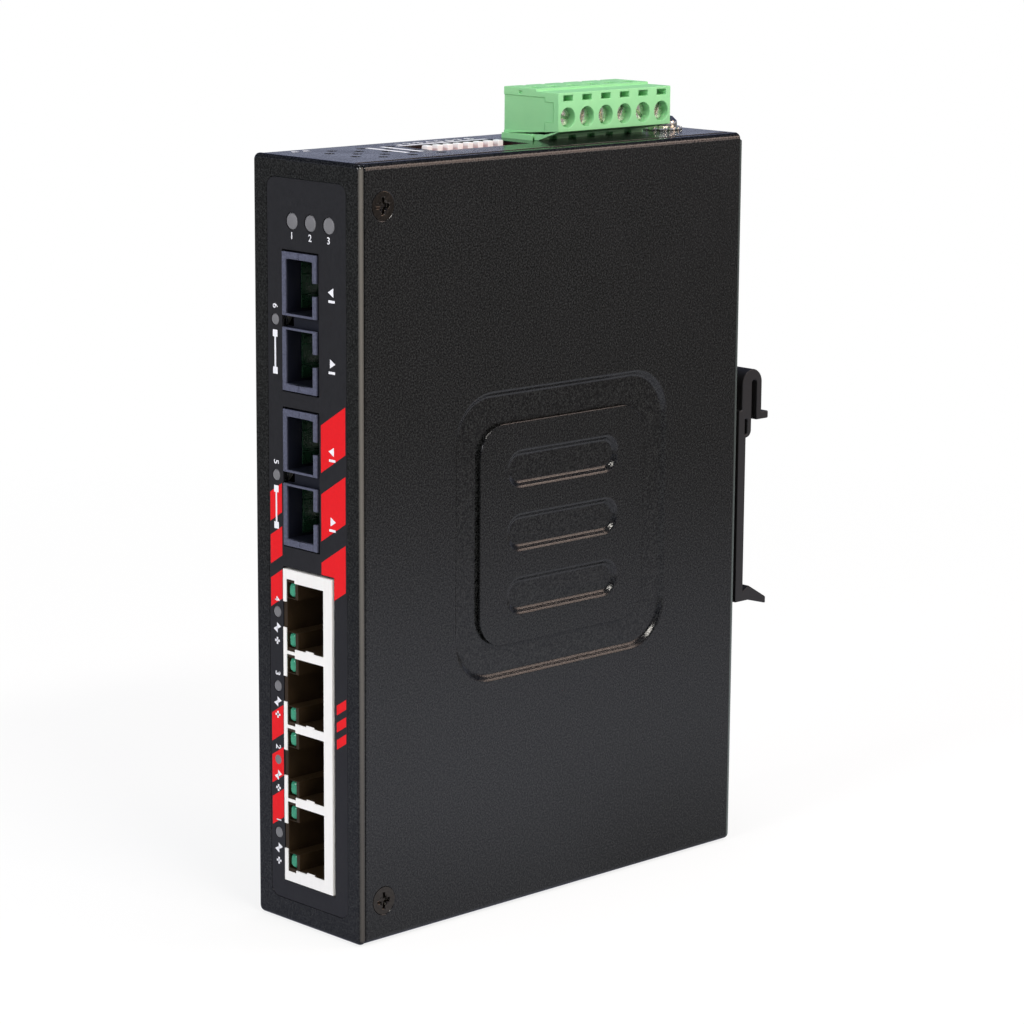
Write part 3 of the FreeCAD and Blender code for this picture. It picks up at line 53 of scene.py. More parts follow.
def limits(node):
    """A node's lowest and highest corner in millimetres."""
    low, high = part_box(node)
    return Vector(low) / MM, Vector(high) / MM


# Places that the details share, in millimetres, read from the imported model
SHIELD_LOW, SHIELD_HIGH = limits("rj45_shield")
FILM_LOW, FILM_HIGH = limits("front_label")
PLUG_LOW, PLUG_HIGH = limits("terminal_plug")
BANK_LOW, BANK_HIGH = limits("selector_body")
WRAP_LOW, WRAP_HIGH = limits("side_wrap")
CASE_FRONT = limits("front_chassis")[0].y
CASE_TOP = limits("front_chassis")[1].z
FIBER_BOXES = [limits(name) for name in ("fiber_module_lower", "fiber_module_upper")]
FIBER_MIDDLES = [(low.z + high.z) / 2 for low, high in FIBER_BOXES]
FIBER_PITCH = 12.7
PORT_PITCH = 14.0
PORT_TALL = 12.3
PORT_END = 2.38
PORT_MIDDLES = [SHIELD_LOW.z + PORT_END + PORT_TALL / 2 + index * PORT_PITCH for index in range(4)]
PORT_LEFT = SHIELD_LOW.x + 0.9
LAMP_WIDE = 2.1
LAMP_TALL = 2.8
POLE_PITCH = 5.0
POLE_COUNT = 6
LEVER_COUNT = 8
INK = 0.02


def linear(code):
    """A linear colour from an sRGB hex value such as "1c1b1a"."""
    colour = []
    for start in (0, 2, 4):
        part = int(code[start:start + 2], 16) / 255
        colour.append(part / 12.92 if part <= 0.04045 else ((part + 0.055) / 1.055) ** 2.4)
    return (*colour, 1.0)


def per_mm(size):
    """The scale of a texture whose features are this many millimetres apart."""
    return 1 / (size * MM)


def add(tree, kind, inputs=None, **settings):
    """Adds a node with its settings, and with values or links on its inputs."""
    node = tree.nodes.new(kind)
    for name, value in settings.items():
        setattr(node, name, value)
    for name, value in (inputs or {}).items():
        if isinstance(value, bpy.types.NodeSocket):
            tree.links.new(value, node.inputs[name])
        else:
            node.inputs[name].default_value = value
    return node


def new_finish(name, shader_inputs):
    """A material with one principled shader; returns it with its tree, shader and object coordinates."""
    material = bpy.data.materials.new(name)
    material.use_nodes = True
    tree = material.node_tree
    tree.nodes.clear()
    shader = add(tree, "ShaderNodeBsdfPrincipled", shader_inputs)
    add(tree, "ShaderNodeOutputMaterial", {"Surface": shader.outputs["BSDF"]})
    place = add(tree, "ShaderNodeTexCoord").outputs["Object"]
    return material, tree, shader, place


def rubbed_edge(tree, under, measure, start, full, low_tone, high_tone, rise):
    """Painted highlight along a bend: a paler tone where a measure passes from start to full, changing up the
    case.
    """
    share = add(tree, "ShaderNodeMapRange", {"Value": measure, "From Min": start * MM, "From Max": full * MM})
    pale = add(tree, "ShaderNodeMixRGB",
               {"Fac": rise, "Color1": linear(low_tone), "Color2": linear(high_tone)})
    bend_highlighted = add(tree, "ShaderNodeMixRGB", {"Fac": share.outputs["Result"], "Color1": under,
                                          "Color2": pale.outputs["Color"]})
    return bend_highlighted.outputs["Color"]


def powder_coat():
    """Polyester powder coat on folded steel: satin black over a fine pebble with painted sparkle in its
    specks, and painted highlights along its front and rear bends.
    """
    material, tree, shader, place = new_finish(
        "powder_coated_steel", {"IOR": 1.5, "Specular IOR Level": 0.34})
    pebble_apart = 0.33
    pebble = add(tree, "ShaderNodeTexNoise",
                 {"Vector": place, "Scale": per_mm(pebble_apart), "Detail": 2.0, "Roughness": 0.55})
    # Lighter specks on the pebble's grain, which also stand in as painted sparkle for the coat's tiny glints
    specks_and_painted_sparkle = add(tree, "ShaderNodeMapRange",
                 {"Value": pebble.outputs["Fac"], "From Min": 0.36, "From Max": 0.68})
    tone = add(tree, "ShaderNodeMixRGB", {"Fac": specks_and_painted_sparkle.outputs["Result"],
                                          "Color1": linear("020202"), "Color2": linear("262727")})
    axes = add(tree, "ShaderNodeSeparateXYZ", {"Vector": place})
    aside = add(tree, "ShaderNodeMath", {0: axes.outputs["X"]}, operation="ABSOLUTE")
    # Height from 20 to 80 mm, along which the painted bend highlights change tone
    rise = add(tree, "ShaderNodeMapRange",
               {"Value": axes.outputs["Z"], "From Min": 20.0 * MM, "From Max": 80.0 * MM})

    # The painted highlight on the front fold, paler higher up the case, is brightest on the side of the broad
    # cover, so its measure leans that way
    lean = 0.4
    front_corner = WRAP_HIGH.x - lean * CASE_FRONT
    depth = add(tree, "ShaderNodeMath", {0: axes.outputs["Y"], 1: lean}, operation="MULTIPLY")
    forward = add(tree, "ShaderNodeMath", {0: aside.outputs[0], 1: depth.outputs[0]}, operation="SUBTRACT")
    bend_highlighted = rubbed_edge(tree, tone.outputs["Color"], forward.outputs[0], front_corner - 0.48,
                       front_corner - 0.24, "46433f", "66635e", rise.outputs["Result"])

    # Painted highlight along the rear bend, paler low on the case than high up
    rear_corner = WRAP_HIGH.x + WRAP_HIGH.y
    backward = add(tree, "ShaderNodeMath", {0: aside.outputs[0], 1: axes.outputs["Y"]}, operation="ADD")
    bend_highlighted = rubbed_edge(tree, bend_highlighted, backward.outputs[0], rear_corner - 1.05,
                       rear_corner - 0.75, "5a6362", "434a49", rise.outputs["Result"])
    tree.links.new(bend_highlighted, shader.inputs["Base Color"])

    cure_apart = 9.0
    cure = add(tree, "ShaderNodeTexNoise", {"Vector": place, "Scale": per_mm(cure_apart), "Detail": 2.0})
    gloss = add(tree, "ShaderNodeMapRange", {"Value": cure.outputs["Fac"], "From Min": 0.3, "From Max": 0.7,
                                             "To Min": 0.15, "To Max": 0.2})
    tree.links.new(gloss.outputs["Result"], shader.inputs["Roughness"])
    bump = add(tree, "ShaderNodeBump", {"Height": pebble.outputs["Fac"], "Strength": 1.0,
                                        "Distance": 0.025 * MM})
    tree.links.new(bump.outputs["Normal"], shader.inputs["Normal"])
    return material


def printed_film():
    """Polycarbonate overlay printed charcoal on its back: smoother than the coat, with slight orange peel."""
    material, tree, shader, place = new_finish(
        "printed_polycarbonate_film", {"IOR": 1.58, "Specular IOR Level": 0.2})
    peel = add(tree, "ShaderNodeTexNoise", {"Vector": place, "Scale": per_mm(0.8), "Detail": 1.5})
    tone = add(tree, "ShaderNodeMixRGB", {"Fac": peel.outputs["Fac"],
                                          "Color1": linear("1d1d20"), "Color2": linear("252528")})
    tree.links.new(tone.outputs["Color"], shader.inputs["Base Color"])
    gloss = add(tree, "ShaderNodeMapRange", {"Value": peel.outputs["Fac"], "From Min": 0.3, "From Max": 0.7,
                                             "To Min": 0.34, "To Max": 0.44})
    tree.links.new(gloss.outputs["Result"], shader.inputs["Roughness"])
    bump = add(tree, "ShaderNodeBump", {"Height": peel.outputs["Fac"], "Strength": 0.6,
                                        "Distance": 0.04 * MM})
    tree.links.new(bump.outputs["Normal"], shader.inputs["Normal"])
    return material


def screen_ink(name, dark, light):
    """Screen-printed ink: a flat opaque colour that thins a little where the mesh left it."""
    material, tree, shader, place = new_finish(name, {"IOR": 1.5, "Specular IOR Level": 0.14})
    mesh_marks = add(tree, "ShaderNodeTexNoise", {"Vector": place, "Scale": per_mm(0.6), "Detail": 2.0})
    tone = add(tree, "ShaderNodeMixRGB", {"Fac": mesh_marks.outputs["Fac"],
                                          "Color1": linear(dark), "Color2": linear(light)})
    tree.links.new(tone.outputs["Color"], shader.inputs["Base Color"])
    gloss = add(tree, "ShaderNodeMapRange",
                {"Value": mesh_marks.outputs["Fac"], "To Min": 0.38, "To Max": 0.5})
    tree.links.new(gloss.outputs["Result"], shader.inputs["Roughness"])
    return material


def moulded_plastic(name, dark, light, rough, ior=1.53, grain=0.45, depth=0.02, shine=0.5):
    """Moulded thermoplastic: colour that drifts slightly over the piece and the fine grain of its mould."""
    material, tree, shader, place = new_finish(name, {"IOR": ior, "Specular IOR Level": shine})
    drift = add(tree, "ShaderNodeTexNoise", {"Vector": place, "Scale": per_mm(4.0), "Detail": 3.0})
    tone = add(tree, "ShaderNodeMixRGB", {"Fac": drift.outputs["Fac"],
                                          "Color1": linear(dark), "Color2": linear(light)})
    tree.links.new(tone.outputs["Color"], shader.inputs["Base Color"])
    spark = add(tree, "ShaderNodeTexNoise", {"Vector": place, "Scale": per_mm(grain), "Detail": 2.0})
    gloss = add(tree, "ShaderNodeMapRange",
                {"Value": spark.outputs["Fac"], "From Min": 0.3, "From Max": 0.7,
                 "To Min": rough - 0.05, "To Max": rough + 0.05})
    tree.links.new(gloss.outputs["Result"], shader.inputs["Roughness"])
    bump = add(tree, "ShaderNodeBump", {"Height": spark.outputs["Fac"], "Strength": 0.4,
                                        "Distance": depth * MM})
    tree.links.new(bump.outputs["Normal"], shader.inputs["Normal"])
    return material


def fiber_polyester():
    """Glass-filled polyester: rims scuffed paler by years of plugging, and painted shade that turns it
    blue-black deeper inside the ports.
    """
    material, tree, shader, place = new_finish(
        "moulded_polyester", {"IOR": 1.56, "Specular IOR Level": 0.3, "Roughness": 0.46})
    front = FIBER_BOXES[0][0].y
    axes = add(tree, "ShaderNodeSeparateXYZ", {"Vector": place})
    # Painted shade in the ports: the colour goes from the scuffed rim to blue-black between 0.1 and 0.5 mm
    # behind the front face
    rim_over_painted_shade = add(tree, "ShaderNodeMapRange",
                  {"Value": axes.outputs["Y"], "From Min": (front + 0.1) * MM, "From Max": (front + 0.5) * MM,
                   "To Min": 1.0, "To Max": 0.0})
    grit = add(tree, "ShaderNodeTexNoise", {"Vector": place, "Scale": per_mm(0.45), "Detail": 3.0})
    rim = add(tree, "ShaderNodeMixRGB", {"Fac": grit.outputs["Fac"],
                                         "Color1": linear("2c2e3c"), "Color2": linear("666a80")})
    tone = add(tree, "ShaderNodeMixRGB", {"Fac": rim_over_painted_shade.outputs["Result"], "Color1": linear("0f121e"),
                                          "Color2": rim.outputs["Color"]})
    tree.links.new(tone.outputs["Color"], shader.inputs["Base Color"])
    bump = add(tree, "ShaderNodeBump", {"Height": grit.outputs["Fac"], "Strength": 0.5,
                                        "Distance": 0.03 * MM})
    tree.links.new(bump.outputs["Normal"], shader.inputs["Normal"])
    return material


def worked_metal(name, dark, light, rough, marks_apart, stretch=(1, 1, 1), depth=0.004, metallic=1.0):
    """Bare or plated metal: tone and gloss follow the marks of its rolling, turning or plating."""
    material, tree, shader, place = new_finish(name, {"Metallic": metallic})
    run = add(tree, "ShaderNodeMapping", {"Vector": place, "Scale": stretch})
    marks = add(tree, "ShaderNodeTexNoise",
                {"Vector": run.outputs["Vector"], "Scale": per_mm(marks_apart), "Detail": 3.0})
    tone = add(tree, "ShaderNodeMixRGB", {"Fac": marks.outputs["Fac"],
                                          "Color1": linear(dark), "Color2": linear(light)})
    tree.links.new(tone.outputs["Color"], shader.inputs["Base Color"])
    gloss = add(tree, "ShaderNodeMapRange",
                {"Value": marks.outputs["Fac"], "From Min": 0.3, "From Max": 0.7,
                 "To Min": rough - 0.06, "To Max": rough + 0.06})
    tree.links.new(gloss.outputs["Result"], shader.inputs["Roughness"])
    bump = add(tree, "ShaderNodeBump", {"Height": marks.outputs["Fac"], "Strength": 0.3,
                                        "Distance": depth * MM})
    tree.links.new(bump.outputs["Normal"], shader.inputs["Normal"])
    return material


FINISHES = {
    "case_paint": powder_coat(),
    "front_film": printed_film(),
    # Black oxide on steel leaves the metal's own bronze glints under a near-black film
    "black_screw": worked_metal("black_oxide_steel", "332f2c", "57524b", 0.2, 0.4),
    # Green solder mask over glass cloth, glossy in small swells over the copper
    "board_laminate": moulded_plastic("solder_masked_laminate", "0d3a1f", "14492a", 0.34, grain=1.2),
    # Matt tin on stamped sheet, near white and dulled by its oxide, with faint rolling lines up the strip
    "tinned_shield": worked_metal("matt_tin_stamping", "f7f6f2", "fffefc", 0.34, 0.5, (1, 1, 0.1),
                                  metallic=0.25),
    # Glass-filled nylon, brown-black and dull where the glass lies at the skin
    "jack_moulding": moulded_plastic("glass_filled_nylon", "281d10", "382a19", 0.5, shine=0.25),
    # Gold flashed over phosphor bronze, bright along the spring's bend
    "spring_contact": worked_metal("gold_flashed_bronze", "a97b2d", "d3a44d", 0.25, 0.3),
    # Cast epoxy lens tinted deep teal, with the sharp highlight of a smooth dome
    "port_lamp": moulded_plastic("cast_tinted_epoxy", "24705a", "43a07e", 0.1, 1.55, 0.8, 0.003),
    "fiber_moulding": fiber_polyester(),
    # Ground zirconia, cream white and smooth
    "sleeve": moulded_plastic("ground_zirconia", "c9cac4", "dfe0da", 0.2, 2.1, 0.8, 0.003),
    # Frosted acrylic rod, a soft grey disc when it is not lit
    "light_pipe": moulded_plastic("frosted_acrylic", "606063", "7a7a7e", 0.45, 1.49, 0.5, 0.01),
    # Clear cast resin round a small pale die
    "lamp": moulded_plastic("cast_clear_resin", "b4b2a6", "c6c4b8", 0.2, 1.5, 0.8, 0.003),
    # Nylon in the pale green of terminal blocks, satin, a little cloudy
    "terminal_green": moulded_plastic("moulded_terminal_nylon", "89d094", "9adb9d", 0.42,
                                      grain=0.4, depth=0.03),
    # Bright zinc on small turned parts, with a trace of yellow in the passivation
    "zinc": worked_metal("bright_zinc_plate", "dcd7c9", "f8f5ec", 0.24, 0.35),
    # Glossy red nylon round the levers
    "selector_red": moulded_plastic("moulded_red_nylon", "ab0d16", "c0161c", 0.32),
    # Acetal levers, milky white and slick
    "lever_white": moulded_plastic("moulded_white_acetal", "eef6f8", "f9feff", 0.34),
    # Black nylon clip, duller than the coat, with a coarser mould grain
    "clip_moulding": moulded_plastic("moulded_black_nylon", "0e0d0d", "181717", 0.5, grain=0.5, depth=0.04),
    # Black epoxy round the chips, matt from the mould
    "package": moulded_plastic("moulded_epoxy_package", "161616", "1e1e1e", 0.6),
    # Extruded aluminium with die lines along the fins
    "sink": worked_metal("extruded_aluminium", "8f9194", "b5b7ba", 0.36, 0.6, (1, 0.1, 1)),
    # Deep drawn aluminium can, drawn along its height
    "can": worked_metal("drawn_aluminium", "9c9ea1", "bfc1c4", 0.3, 0.6, (0.1, 1, 1)),
    # Pressed ferrite powder, dull grey
    "core": moulded_plastic("pressed_ferrite", "232324", "2d2d2e", 0.65),
    # Turned brass, with fine tool rings
    "standoff": worked_metal("turned_brass", "a5813a", "c9a55a", 0.25, 0.2),
}
# Polyester latches deep in the fibre ports, dark green and slightly glossy
LATCH_GREEN = moulded_plastic("moulded_green_polyester", "0b2415", "153521", 0.3)
RED_INK = screen_ink("red_screen_ink", "d1101a", "e0161f")
WHITE_INK = screen_ink("white_screen_ink", "d9dae2", "ecedf3")
for node_name, node_object in frame["nodes"].items():
    node_object.data.materials.clear()
    node_object.data.materials.append(FINISHES[SLOT_OF[node_name]])


def only(piece):
    """Selects one object alone and makes it the active one."""
    bpy.ops.object.select_all(action="DESELECT")
    piece.select_set(True)
    bpy.context.view_layer.objects.active = piece


def block(low, high):
    """A block between two corners in millimetres, to be shaped or to cut with."""
    bpy.ops.object.select_all(action="DESELECT")
    middle = [(a + b) / 2 * MM for a, b in zip(low, high)]
    bpy.ops.mesh.primitive_cube_add(size=1.0, location=middle)
    piece = bpy.context.object
    piece.scale = [(b - a) * MM for a, b in zip(low, high)]
    bpy.ops.object.transform_apply(location=True, rotation=True, scale=True)
    return piece


def round_edges(piece, radius, segments=2, angle=35):
    """Rounds the sharp edges of a piece by a radius in millimetres and smooths its shading."""
    only(piece)
    rounding = piece.modifiers.new("edge_radius", "BEVEL")
    rounding.width = radius * MM
    rounding.segments = segments
    rounding.limit_method = "ANGLE"
    rounding.angle_limit = math.radians(angle)
    rounding.use_clamp_overlap = False
    bpy.ops.object.modifier_apply(modifier=rounding.name)
    bpy.ops.object.shade_smooth_by_angle(angle=math.radians(angle))
    flat = piece.modifiers.new("flat_faces", "WEIGHTED_NORMAL")
    flat.keep_sharp = True
    flat.weight = 90
    bpy.ops.object.modifier_apply(modifier=flat.name)


def carve(piece, cutters):
    """Cuts blocks out of a piece and removes the blocks."""
    for cutter in cutters:
        only(piece)
        cutting = piece.modifiers.new("cut", "BOOLEAN")
        cutting.operation = "DIFFERENCE"
        cutting.solver = "EXACT"
        cutting.object = cutter
        bpy.ops.object.modifier_apply(modifier=cutting.name)
        bpy.data.objects.remove(cutter, do_unlink=True)


def join(pieces):
    """Makes one piece of several."""
    only(pieces[0])
    for piece in pieces:
        piece.select_set(True)
    bpy.ops.object.join()
    return bpy.context.object


def fit(piece, name, body, finish):
    """Names a finished piece, gives it its material and lets it move with a body."""
    piece.name = name
    piece.data.name = name
    piece.data.materials.clear()
    piece.data.materials.append(finish)
    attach(piece, body)
    return piece


def dress(node, radius, cutters=(), segments=2, angle=35, turn=None, shape=None):
    """A copy of a node, merged, with its details cut in and its edges rounded, in the node's place."""
    piece = bpy.data.objects.new(f"{node}_finish", frame["nodes"][node].data.copy())
    bpy.context.collection.objects.link(piece)
    only(piece)
    bpy.ops.mesh.customdata_custom_splitnormals_clear()
    bpy.ops.object.mode_set(mode="EDIT")
    bpy.ops.mesh.select_all(action="SELECT")
    bpy.ops.mesh.remove_doubles(threshold=0.002 * MM)
    bpy.ops.mesh.dissolve_limited(angle_limit=math.radians(0.5))
    bpy.ops.object.mode_set(mode="OBJECT")
    if turn:
        piece.data.transform(turn)
    carve(piece, cutters)
    if shape:
        shape(piece)
    round_edges(piece, radius, segments, angle)
    fit(piece, f"{node}_finish", BODY_OF[node], FINISHES[SLOT_OF[node]])
    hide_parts(node)
    return piece


def soften_relief(piece, radius):
    """Rounds the edges of the pressed relief, which the press draws wider than a cut edge."""
    relief_low = Vector((WRAP_HIGH.x - 0.95, -27.0, 43.5))
    relief_high = Vector((WRAP_HIGH.x + 0.1, 30.0, 99.5))
    only(piece)
    bpy.context.tool_settings.mesh_select_mode = (False, True, False)
    bpy.ops.object.mode_set(mode="EDIT")
    bpy.ops.mesh.select_all(action="DESELECT")
    bpy.ops.mesh.edges_select_sharp(sharpness=math.radians(25))
    bpy.ops.object.mode_set(mode="OBJECT")
    for edge in piece.data.edges:
        if edge.select:
            ends = [piece.data.vertices[index].co / MM for index in edge.vertices]
            edge.select = all(low <= value <= high for end in ends
                              for low, value, high in zip(relief_low, end, relief_high))
    bpy.ops.object.mode_set(mode="EDIT")
    bpy.ops.mesh.bevel(offset=radius * MM, segments=3, affect="EDGES")
    bpy.ops.object.mode_set(mode="OBJECT")


def dress_case():
    """Folded case: the deburred, coated edges of its sheets and the soft walls of the pressed relief."""
    dress("side_wrap", 0.08, shape=lambda piece: soften_relief(piece, 0.3))
    dress("front_chassis", 0.08)
    dress("side_screws", 0.22, segments=3)
    dress("din_rail_clip", 0.25)
    dress("din_clip_screws", 0.07)


def dress_jack():
    """Copper jack: spring nibs on the shield's bars and domed lamps in the corners of its ports."""
    nib_left = -0.2
    nib_right = 1.95
    nib_deep = 0.25
    nib_tall = 0.3
    face = SHIELD_LOW.y
    nibs = []
    for middle in PORT_MIDDLES:
        low = middle - PORT_TALL / 2
        nibs.append(block((nib_left, face, low - 0.1), (nib_right, face + nib_deep, low + nib_tall)))
    dress("rj45_shield", 0.06)
    nib = join(nibs)
    round_edges(nib, 0.06)
    fit(nib, "rj45_shield_nibs", "case", FINISHES["tinned_shield"])

    lamps = []
    inset = 0.1
    lamp_front = face + 0.3
    lamp_back = face + 5.0
    dome_radius = 0.95
    middle_x = PORT_LEFT + inset + LAMP_WIDE / 2
    for middle in PORT_MIDDLES:
        for side in (-1, 1):
            z = middle + side * (PORT_TALL / 2 - LAMP_TALL / 2 - inset)
            lamps.append(block((middle_x - LAMP_WIDE / 2, lamp_front, z - LAMP_TALL / 2),
                               (middle_x + LAMP_WIDE / 2, lamp_back, z + LAMP_TALL / 2)))
    lamp = join(lamps)
    round_edges(lamp, dome_radius, segments=6)
    fit(lamp, "rj45_lamp_domes", "case", FINISHES["port_lamp"])
    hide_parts("rj45_leds")


def dress_fiber_modules():
    """Fibre modules: parting lines of the mould on the rims and a deep latch hole between the two ports."""
    parting = -1.62
    line_half = 0.07
    line_deep = 0.1
    over = 0.1
    rim = 1.3
    hole_half = 0.85
    nodes = ("fiber_module_lower", "fiber_module_upper")
    for node, (low, high), middle in zip(nodes, FIBER_BOXES, FIBER_MIDDLES):
        line_low = (parting - line_half, low.y - 2 * over)
        line_high = (parting + line_half, low.y + line_deep)
        cutters = [
            block((*line_low, high.z - rim), (*line_high, high.z + over)),
            block((*line_low, low.z - over), (*line_high, low.z + rim)),
            block((low.x + 1.2, low.y - 2 * over, middle - hole_half),
                  (low.x + 3.1, low.y + 6.0, middle + hole_half)),
        ]
        dress(node, 0.1, cutters)
    fit_fiber_latches()


def fit_fiber_latches():
    """Latch inserts on the far wall of each fibre port, split into arms by two long slits."""
    low, high = FIBER_BOXES[0]
    wall_inward = 8.35
    wall = high.x - wall_inward
    thick = 0.25
    half_tall = 4.3
    near = low.y + 3.6
    far = low.y + 8.3
    over = 0.1
    slit_place = 1.9
    slit_half = 0.15
    inserts = []
    for middle in FIBER_MIDDLES:
        for side in (-1, 1):
            port = middle + side * FIBER_PITCH / 2
            insert = block((wall + 0.02, near, port - half_tall), (wall + thick, far, port + half_tall))
            slits = []
            for arm in (port - slit_place, port + slit_place):
                slits.append(block((wall + 0.1, near - over, arm - slit_half),
                                   (wall + 1.0, far + over, arm + slit_half)))
            carve(insert, slits)
            inserts.append(insert)
    latches = join(inserts)
    round_edges(latches, 0.08)
    fit(latches, "fiber_latch_inserts", "case", LATCH_GREEN)


def dress_terminal():
    """Green plug with its stepped end and key notches, and its screws at rest at different turns."""
    end = PLUG_LOW.y
    top = PLUG_HIGH.z
    back = PLUG_LOW.x
    over = 0.1
    step_deep = 0.14
    step_place = 3.8
    notch_half = 0.6
    cutters = [
        block((back - over, end - over, top - 8.2), (step_place, end + step_deep, top - 1.5)),
        block((step_place, end - over, top - 6.0), (6.1, end + step_deep, top - 2.3)),
        block((-3.2, end - over, top - 1.1), (-2.3, end + 0.5, top - 0.6)),
    ]
    for pole in range(1, POLE_COUNT):
        y = end + pole * POLE_PITCH
        cutters.append(block((back - over, y - notch_half, top - 0.45),
                             (back + 0.8, y + notch_half, top + over)))
    dress("terminal_plug", 0.13, cutters)
    dress("terminal_header", 0.08)
    fit_plug_foot()
    slot_turns = (80, -18, 12, -30, 50, -26)
    for index, degrees in enumerate(slot_turns, start=1):
        low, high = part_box(f"terminal_screw_{index}")
        middle = Matrix.Translation((Vector(low) + Vector(high)) / 2)
        turn = middle @ Matrix.Rotation(math.radians(degrees), 4, "X") @ middle.inverted()
        dress(f"terminal_screw_{index}", 0.08, turn=turn)


def fit_plug_foot():
    """Foot of the plug: a rim under it, a plate before the header's end and a sloped end wall."""
    end = PLUG_LOW.y
    back = PLUG_LOW.x
    header_low, header_high = limits("terminal_header")
    front = header_high.x - 0.05
    wall = 0.7
    rim = block((back, end, header_high.z + 0.02), (front, PLUG_HIGH.y, header_high.z + 0.4))
    carve(rim, [block((back + wall, end + wall, header_high.z - 0.5),
                      (front - wall, PLUG_HIGH.y - wall, header_high.z + 1.0))])

    proud = 0.2
    plate = block((back, header_low.y - proud, CASE_TOP - 0.5), (front, end + 0.05, header_high.z + 0.5))
    play = Vector((0.02, 0.02, 0.02))
    carve(plate, [block(header_low - play, header_high + play)])

    slope_start = 2.0
    slope_top = header_high.z + 1.4
    slope = (slope_top - CASE_TOP) / (PLUG_HIGH.x - slope_start)
    end_wall = block((header_high.x - 0.1, end + 0.02, CASE_TOP + 0.05),
                     (PLUG_HIGH.x - 0.1, end + wall, slope_top))
    only(end_wall)
    bpy.ops.object.mode_set(mode="EDIT")
    bpy.ops.mesh.select_all(action="SELECT")
    bpy.ops.mesh.bisect(plane_co=Vector((slope_start, end, CASE_TOP)) * MM,
                        plane_no=Vector((slope, 0, -1)), clear_outer=True, use_fill=True)
    bpy.ops.object.mode_set(mode="OBJECT")
    foot = join([rim, plate, end_wall])
    round_edges(foot, 0.04)
    fit(foot, "terminal_plug_skirt", "plug", FINISHES["terminal_green"])


def dress_top():
    """Selector bank, its levers and the earth screw with its toothed washer."""
    dress("selector_body", 0.12)
    for index in range(1, LEVER_COUNT + 1):
        dress(f"selector_lever_{index}", 0.15)
    dress("earth_screw", 0.15)
    dress("earth_washer", 0.08)


def dress_lights():
    """Light pipes with lightly domed ends."""
    dress("status_light_pipes", 0.4, segments=4)
    dress("port_light_pipes", 0.3, segments=4)


def flat_band(low_x, high_x, low_z, high_z):
    """An upright plane on the film's face, in millimetres."""
    bpy.ops.object.select_all(action="DESELECT")
    middle = ((low_x + high_x) / 2 * MM, FILM_LOW.y * MM, (low_z + high_z) / 2 * MM)
    bpy.ops.mesh.primitive_plane_add(size=1.0, location=middle, rotation=(math.radians(90), 0, 0))
    piece = bpy.context.object
    piece.scale = ((high_x - low_x) * MM, (high_z - low_z) * MM, 1.0)
    bpy.ops.object.transform_apply(location=True, rotation=True, scale=True)
    return piece


def slanted_band(column, height, half, slope):
    """One red band across a column of the film, slanting up towards +X."""
    low_x, high_x = column
    middle_x = (low_x + high_x) / 2
    reach = half + slope * (high_x - low_x)
    piece = flat_band(low_x, high_x, height - reach, height + reach)
    normal = Vector((-slope, 0, 1)).normalized()
    only(piece)
    bpy.ops.object.mode_set(mode="EDIT")
    for side in (1, -1):
        bpy.ops.mesh.select_all(action="SELECT")
        place = Vector((middle_x, FILM_LOW.y, height + side * half)) * MM
        bpy.ops.mesh.bisect(plane_co=place, plane_no=normal * side, clear_outer=True)
    bpy.ops.object.mode_set(mode="OBJECT")
    return piece


def thicken(piece, layers, finish, name):
    """Gives flat print its film of ink, standing out from the face by a number of layers."""
    only(piece)
    film = piece.modifiers.new("ink", "SOLIDIFY")
    film.thickness = layers * INK * MM
    film.offset = 1.0
    bpy.ops.object.modifier_apply(modifier=film.name)
    return fit(piece, name, "case", finish)


def print_bands():
    """Evenly spaced red bands beside the fibre and copper ports."""
    slope = 0.62
    edge = 0.3
    right = (FIBER_BOXES[0][1].x + 0.8, FILM_HIGH.x - edge)
    left = (FILM_LOW.x + edge, SHIELD_LOW.x - 0.5)
    thin = (SHIELD_HIGH.x + 0.9, FILM_HIGH.x - edge)
    # Each row: its column, the height of its lowest band, the pitch and half the width of its bands
    rows = ((right, 67.5, 12.5, 4.3), (left, 63.0, 8.0, 2.7), (left, 21.5, 8.0, 2.7), (thin, 37.5, 3.2, 0.9))
    bands = []
    for column, lowest, pitch, half in rows:
        bands += [slanted_band(column, lowest + pitch * step, half, slope) for step in range(3)]
    printed = thicken(join(bands), 1, RED_INK, "front_red_bands")
    margin = Vector((0.3, 1.0, 0.45))
    carve(printed, [block(SHIELD_LOW - margin, SHIELD_HIGH + margin)])


FRONT_UPRIGHT = Matrix(((1, 0, 0), (0, 0, -1), (0, 1, 0)))
FRONT_SIDEWAYS = Matrix(((0, 1, 0), (0, 0, -1), (-1, 0, 0)))
TOP_FACING = Matrix(((0, -1, 0), (1, 0, 0), (0, 0, 1)))


def lay(piece, facing, place):
    """Turns flat print to face a way and puts its middle at a place in millimetres."""
    only(piece)
    piece.matrix_world = Matrix.Translation(Vector(place) * MM) @ facing.to_4x4()
    bpy.context.view_layer.update()
    bpy.ops.object.transform_apply(location=True, rotation=True, scale=True)
    return piece


def numeral(text, tall, facing, place):
    """A printed number, centred on its place."""
    bpy.ops.object.select_all(action="DESELECT")
    bpy.ops.object.text_add()
    letter = bpy.context.object
    letter.data.body = text
    figure_share = 0.7
    stroke_extra = 0.025
    letter.data.size = tall / figure_share * MM
    letter.data.offset = stroke_extra * MM
    letter.data.align_x = "CENTER"
    letter.data.align_y = "CENTER"
    bpy.ops.object.convert(target="MESH")
    return lay(bpy.context.object, facing, place)


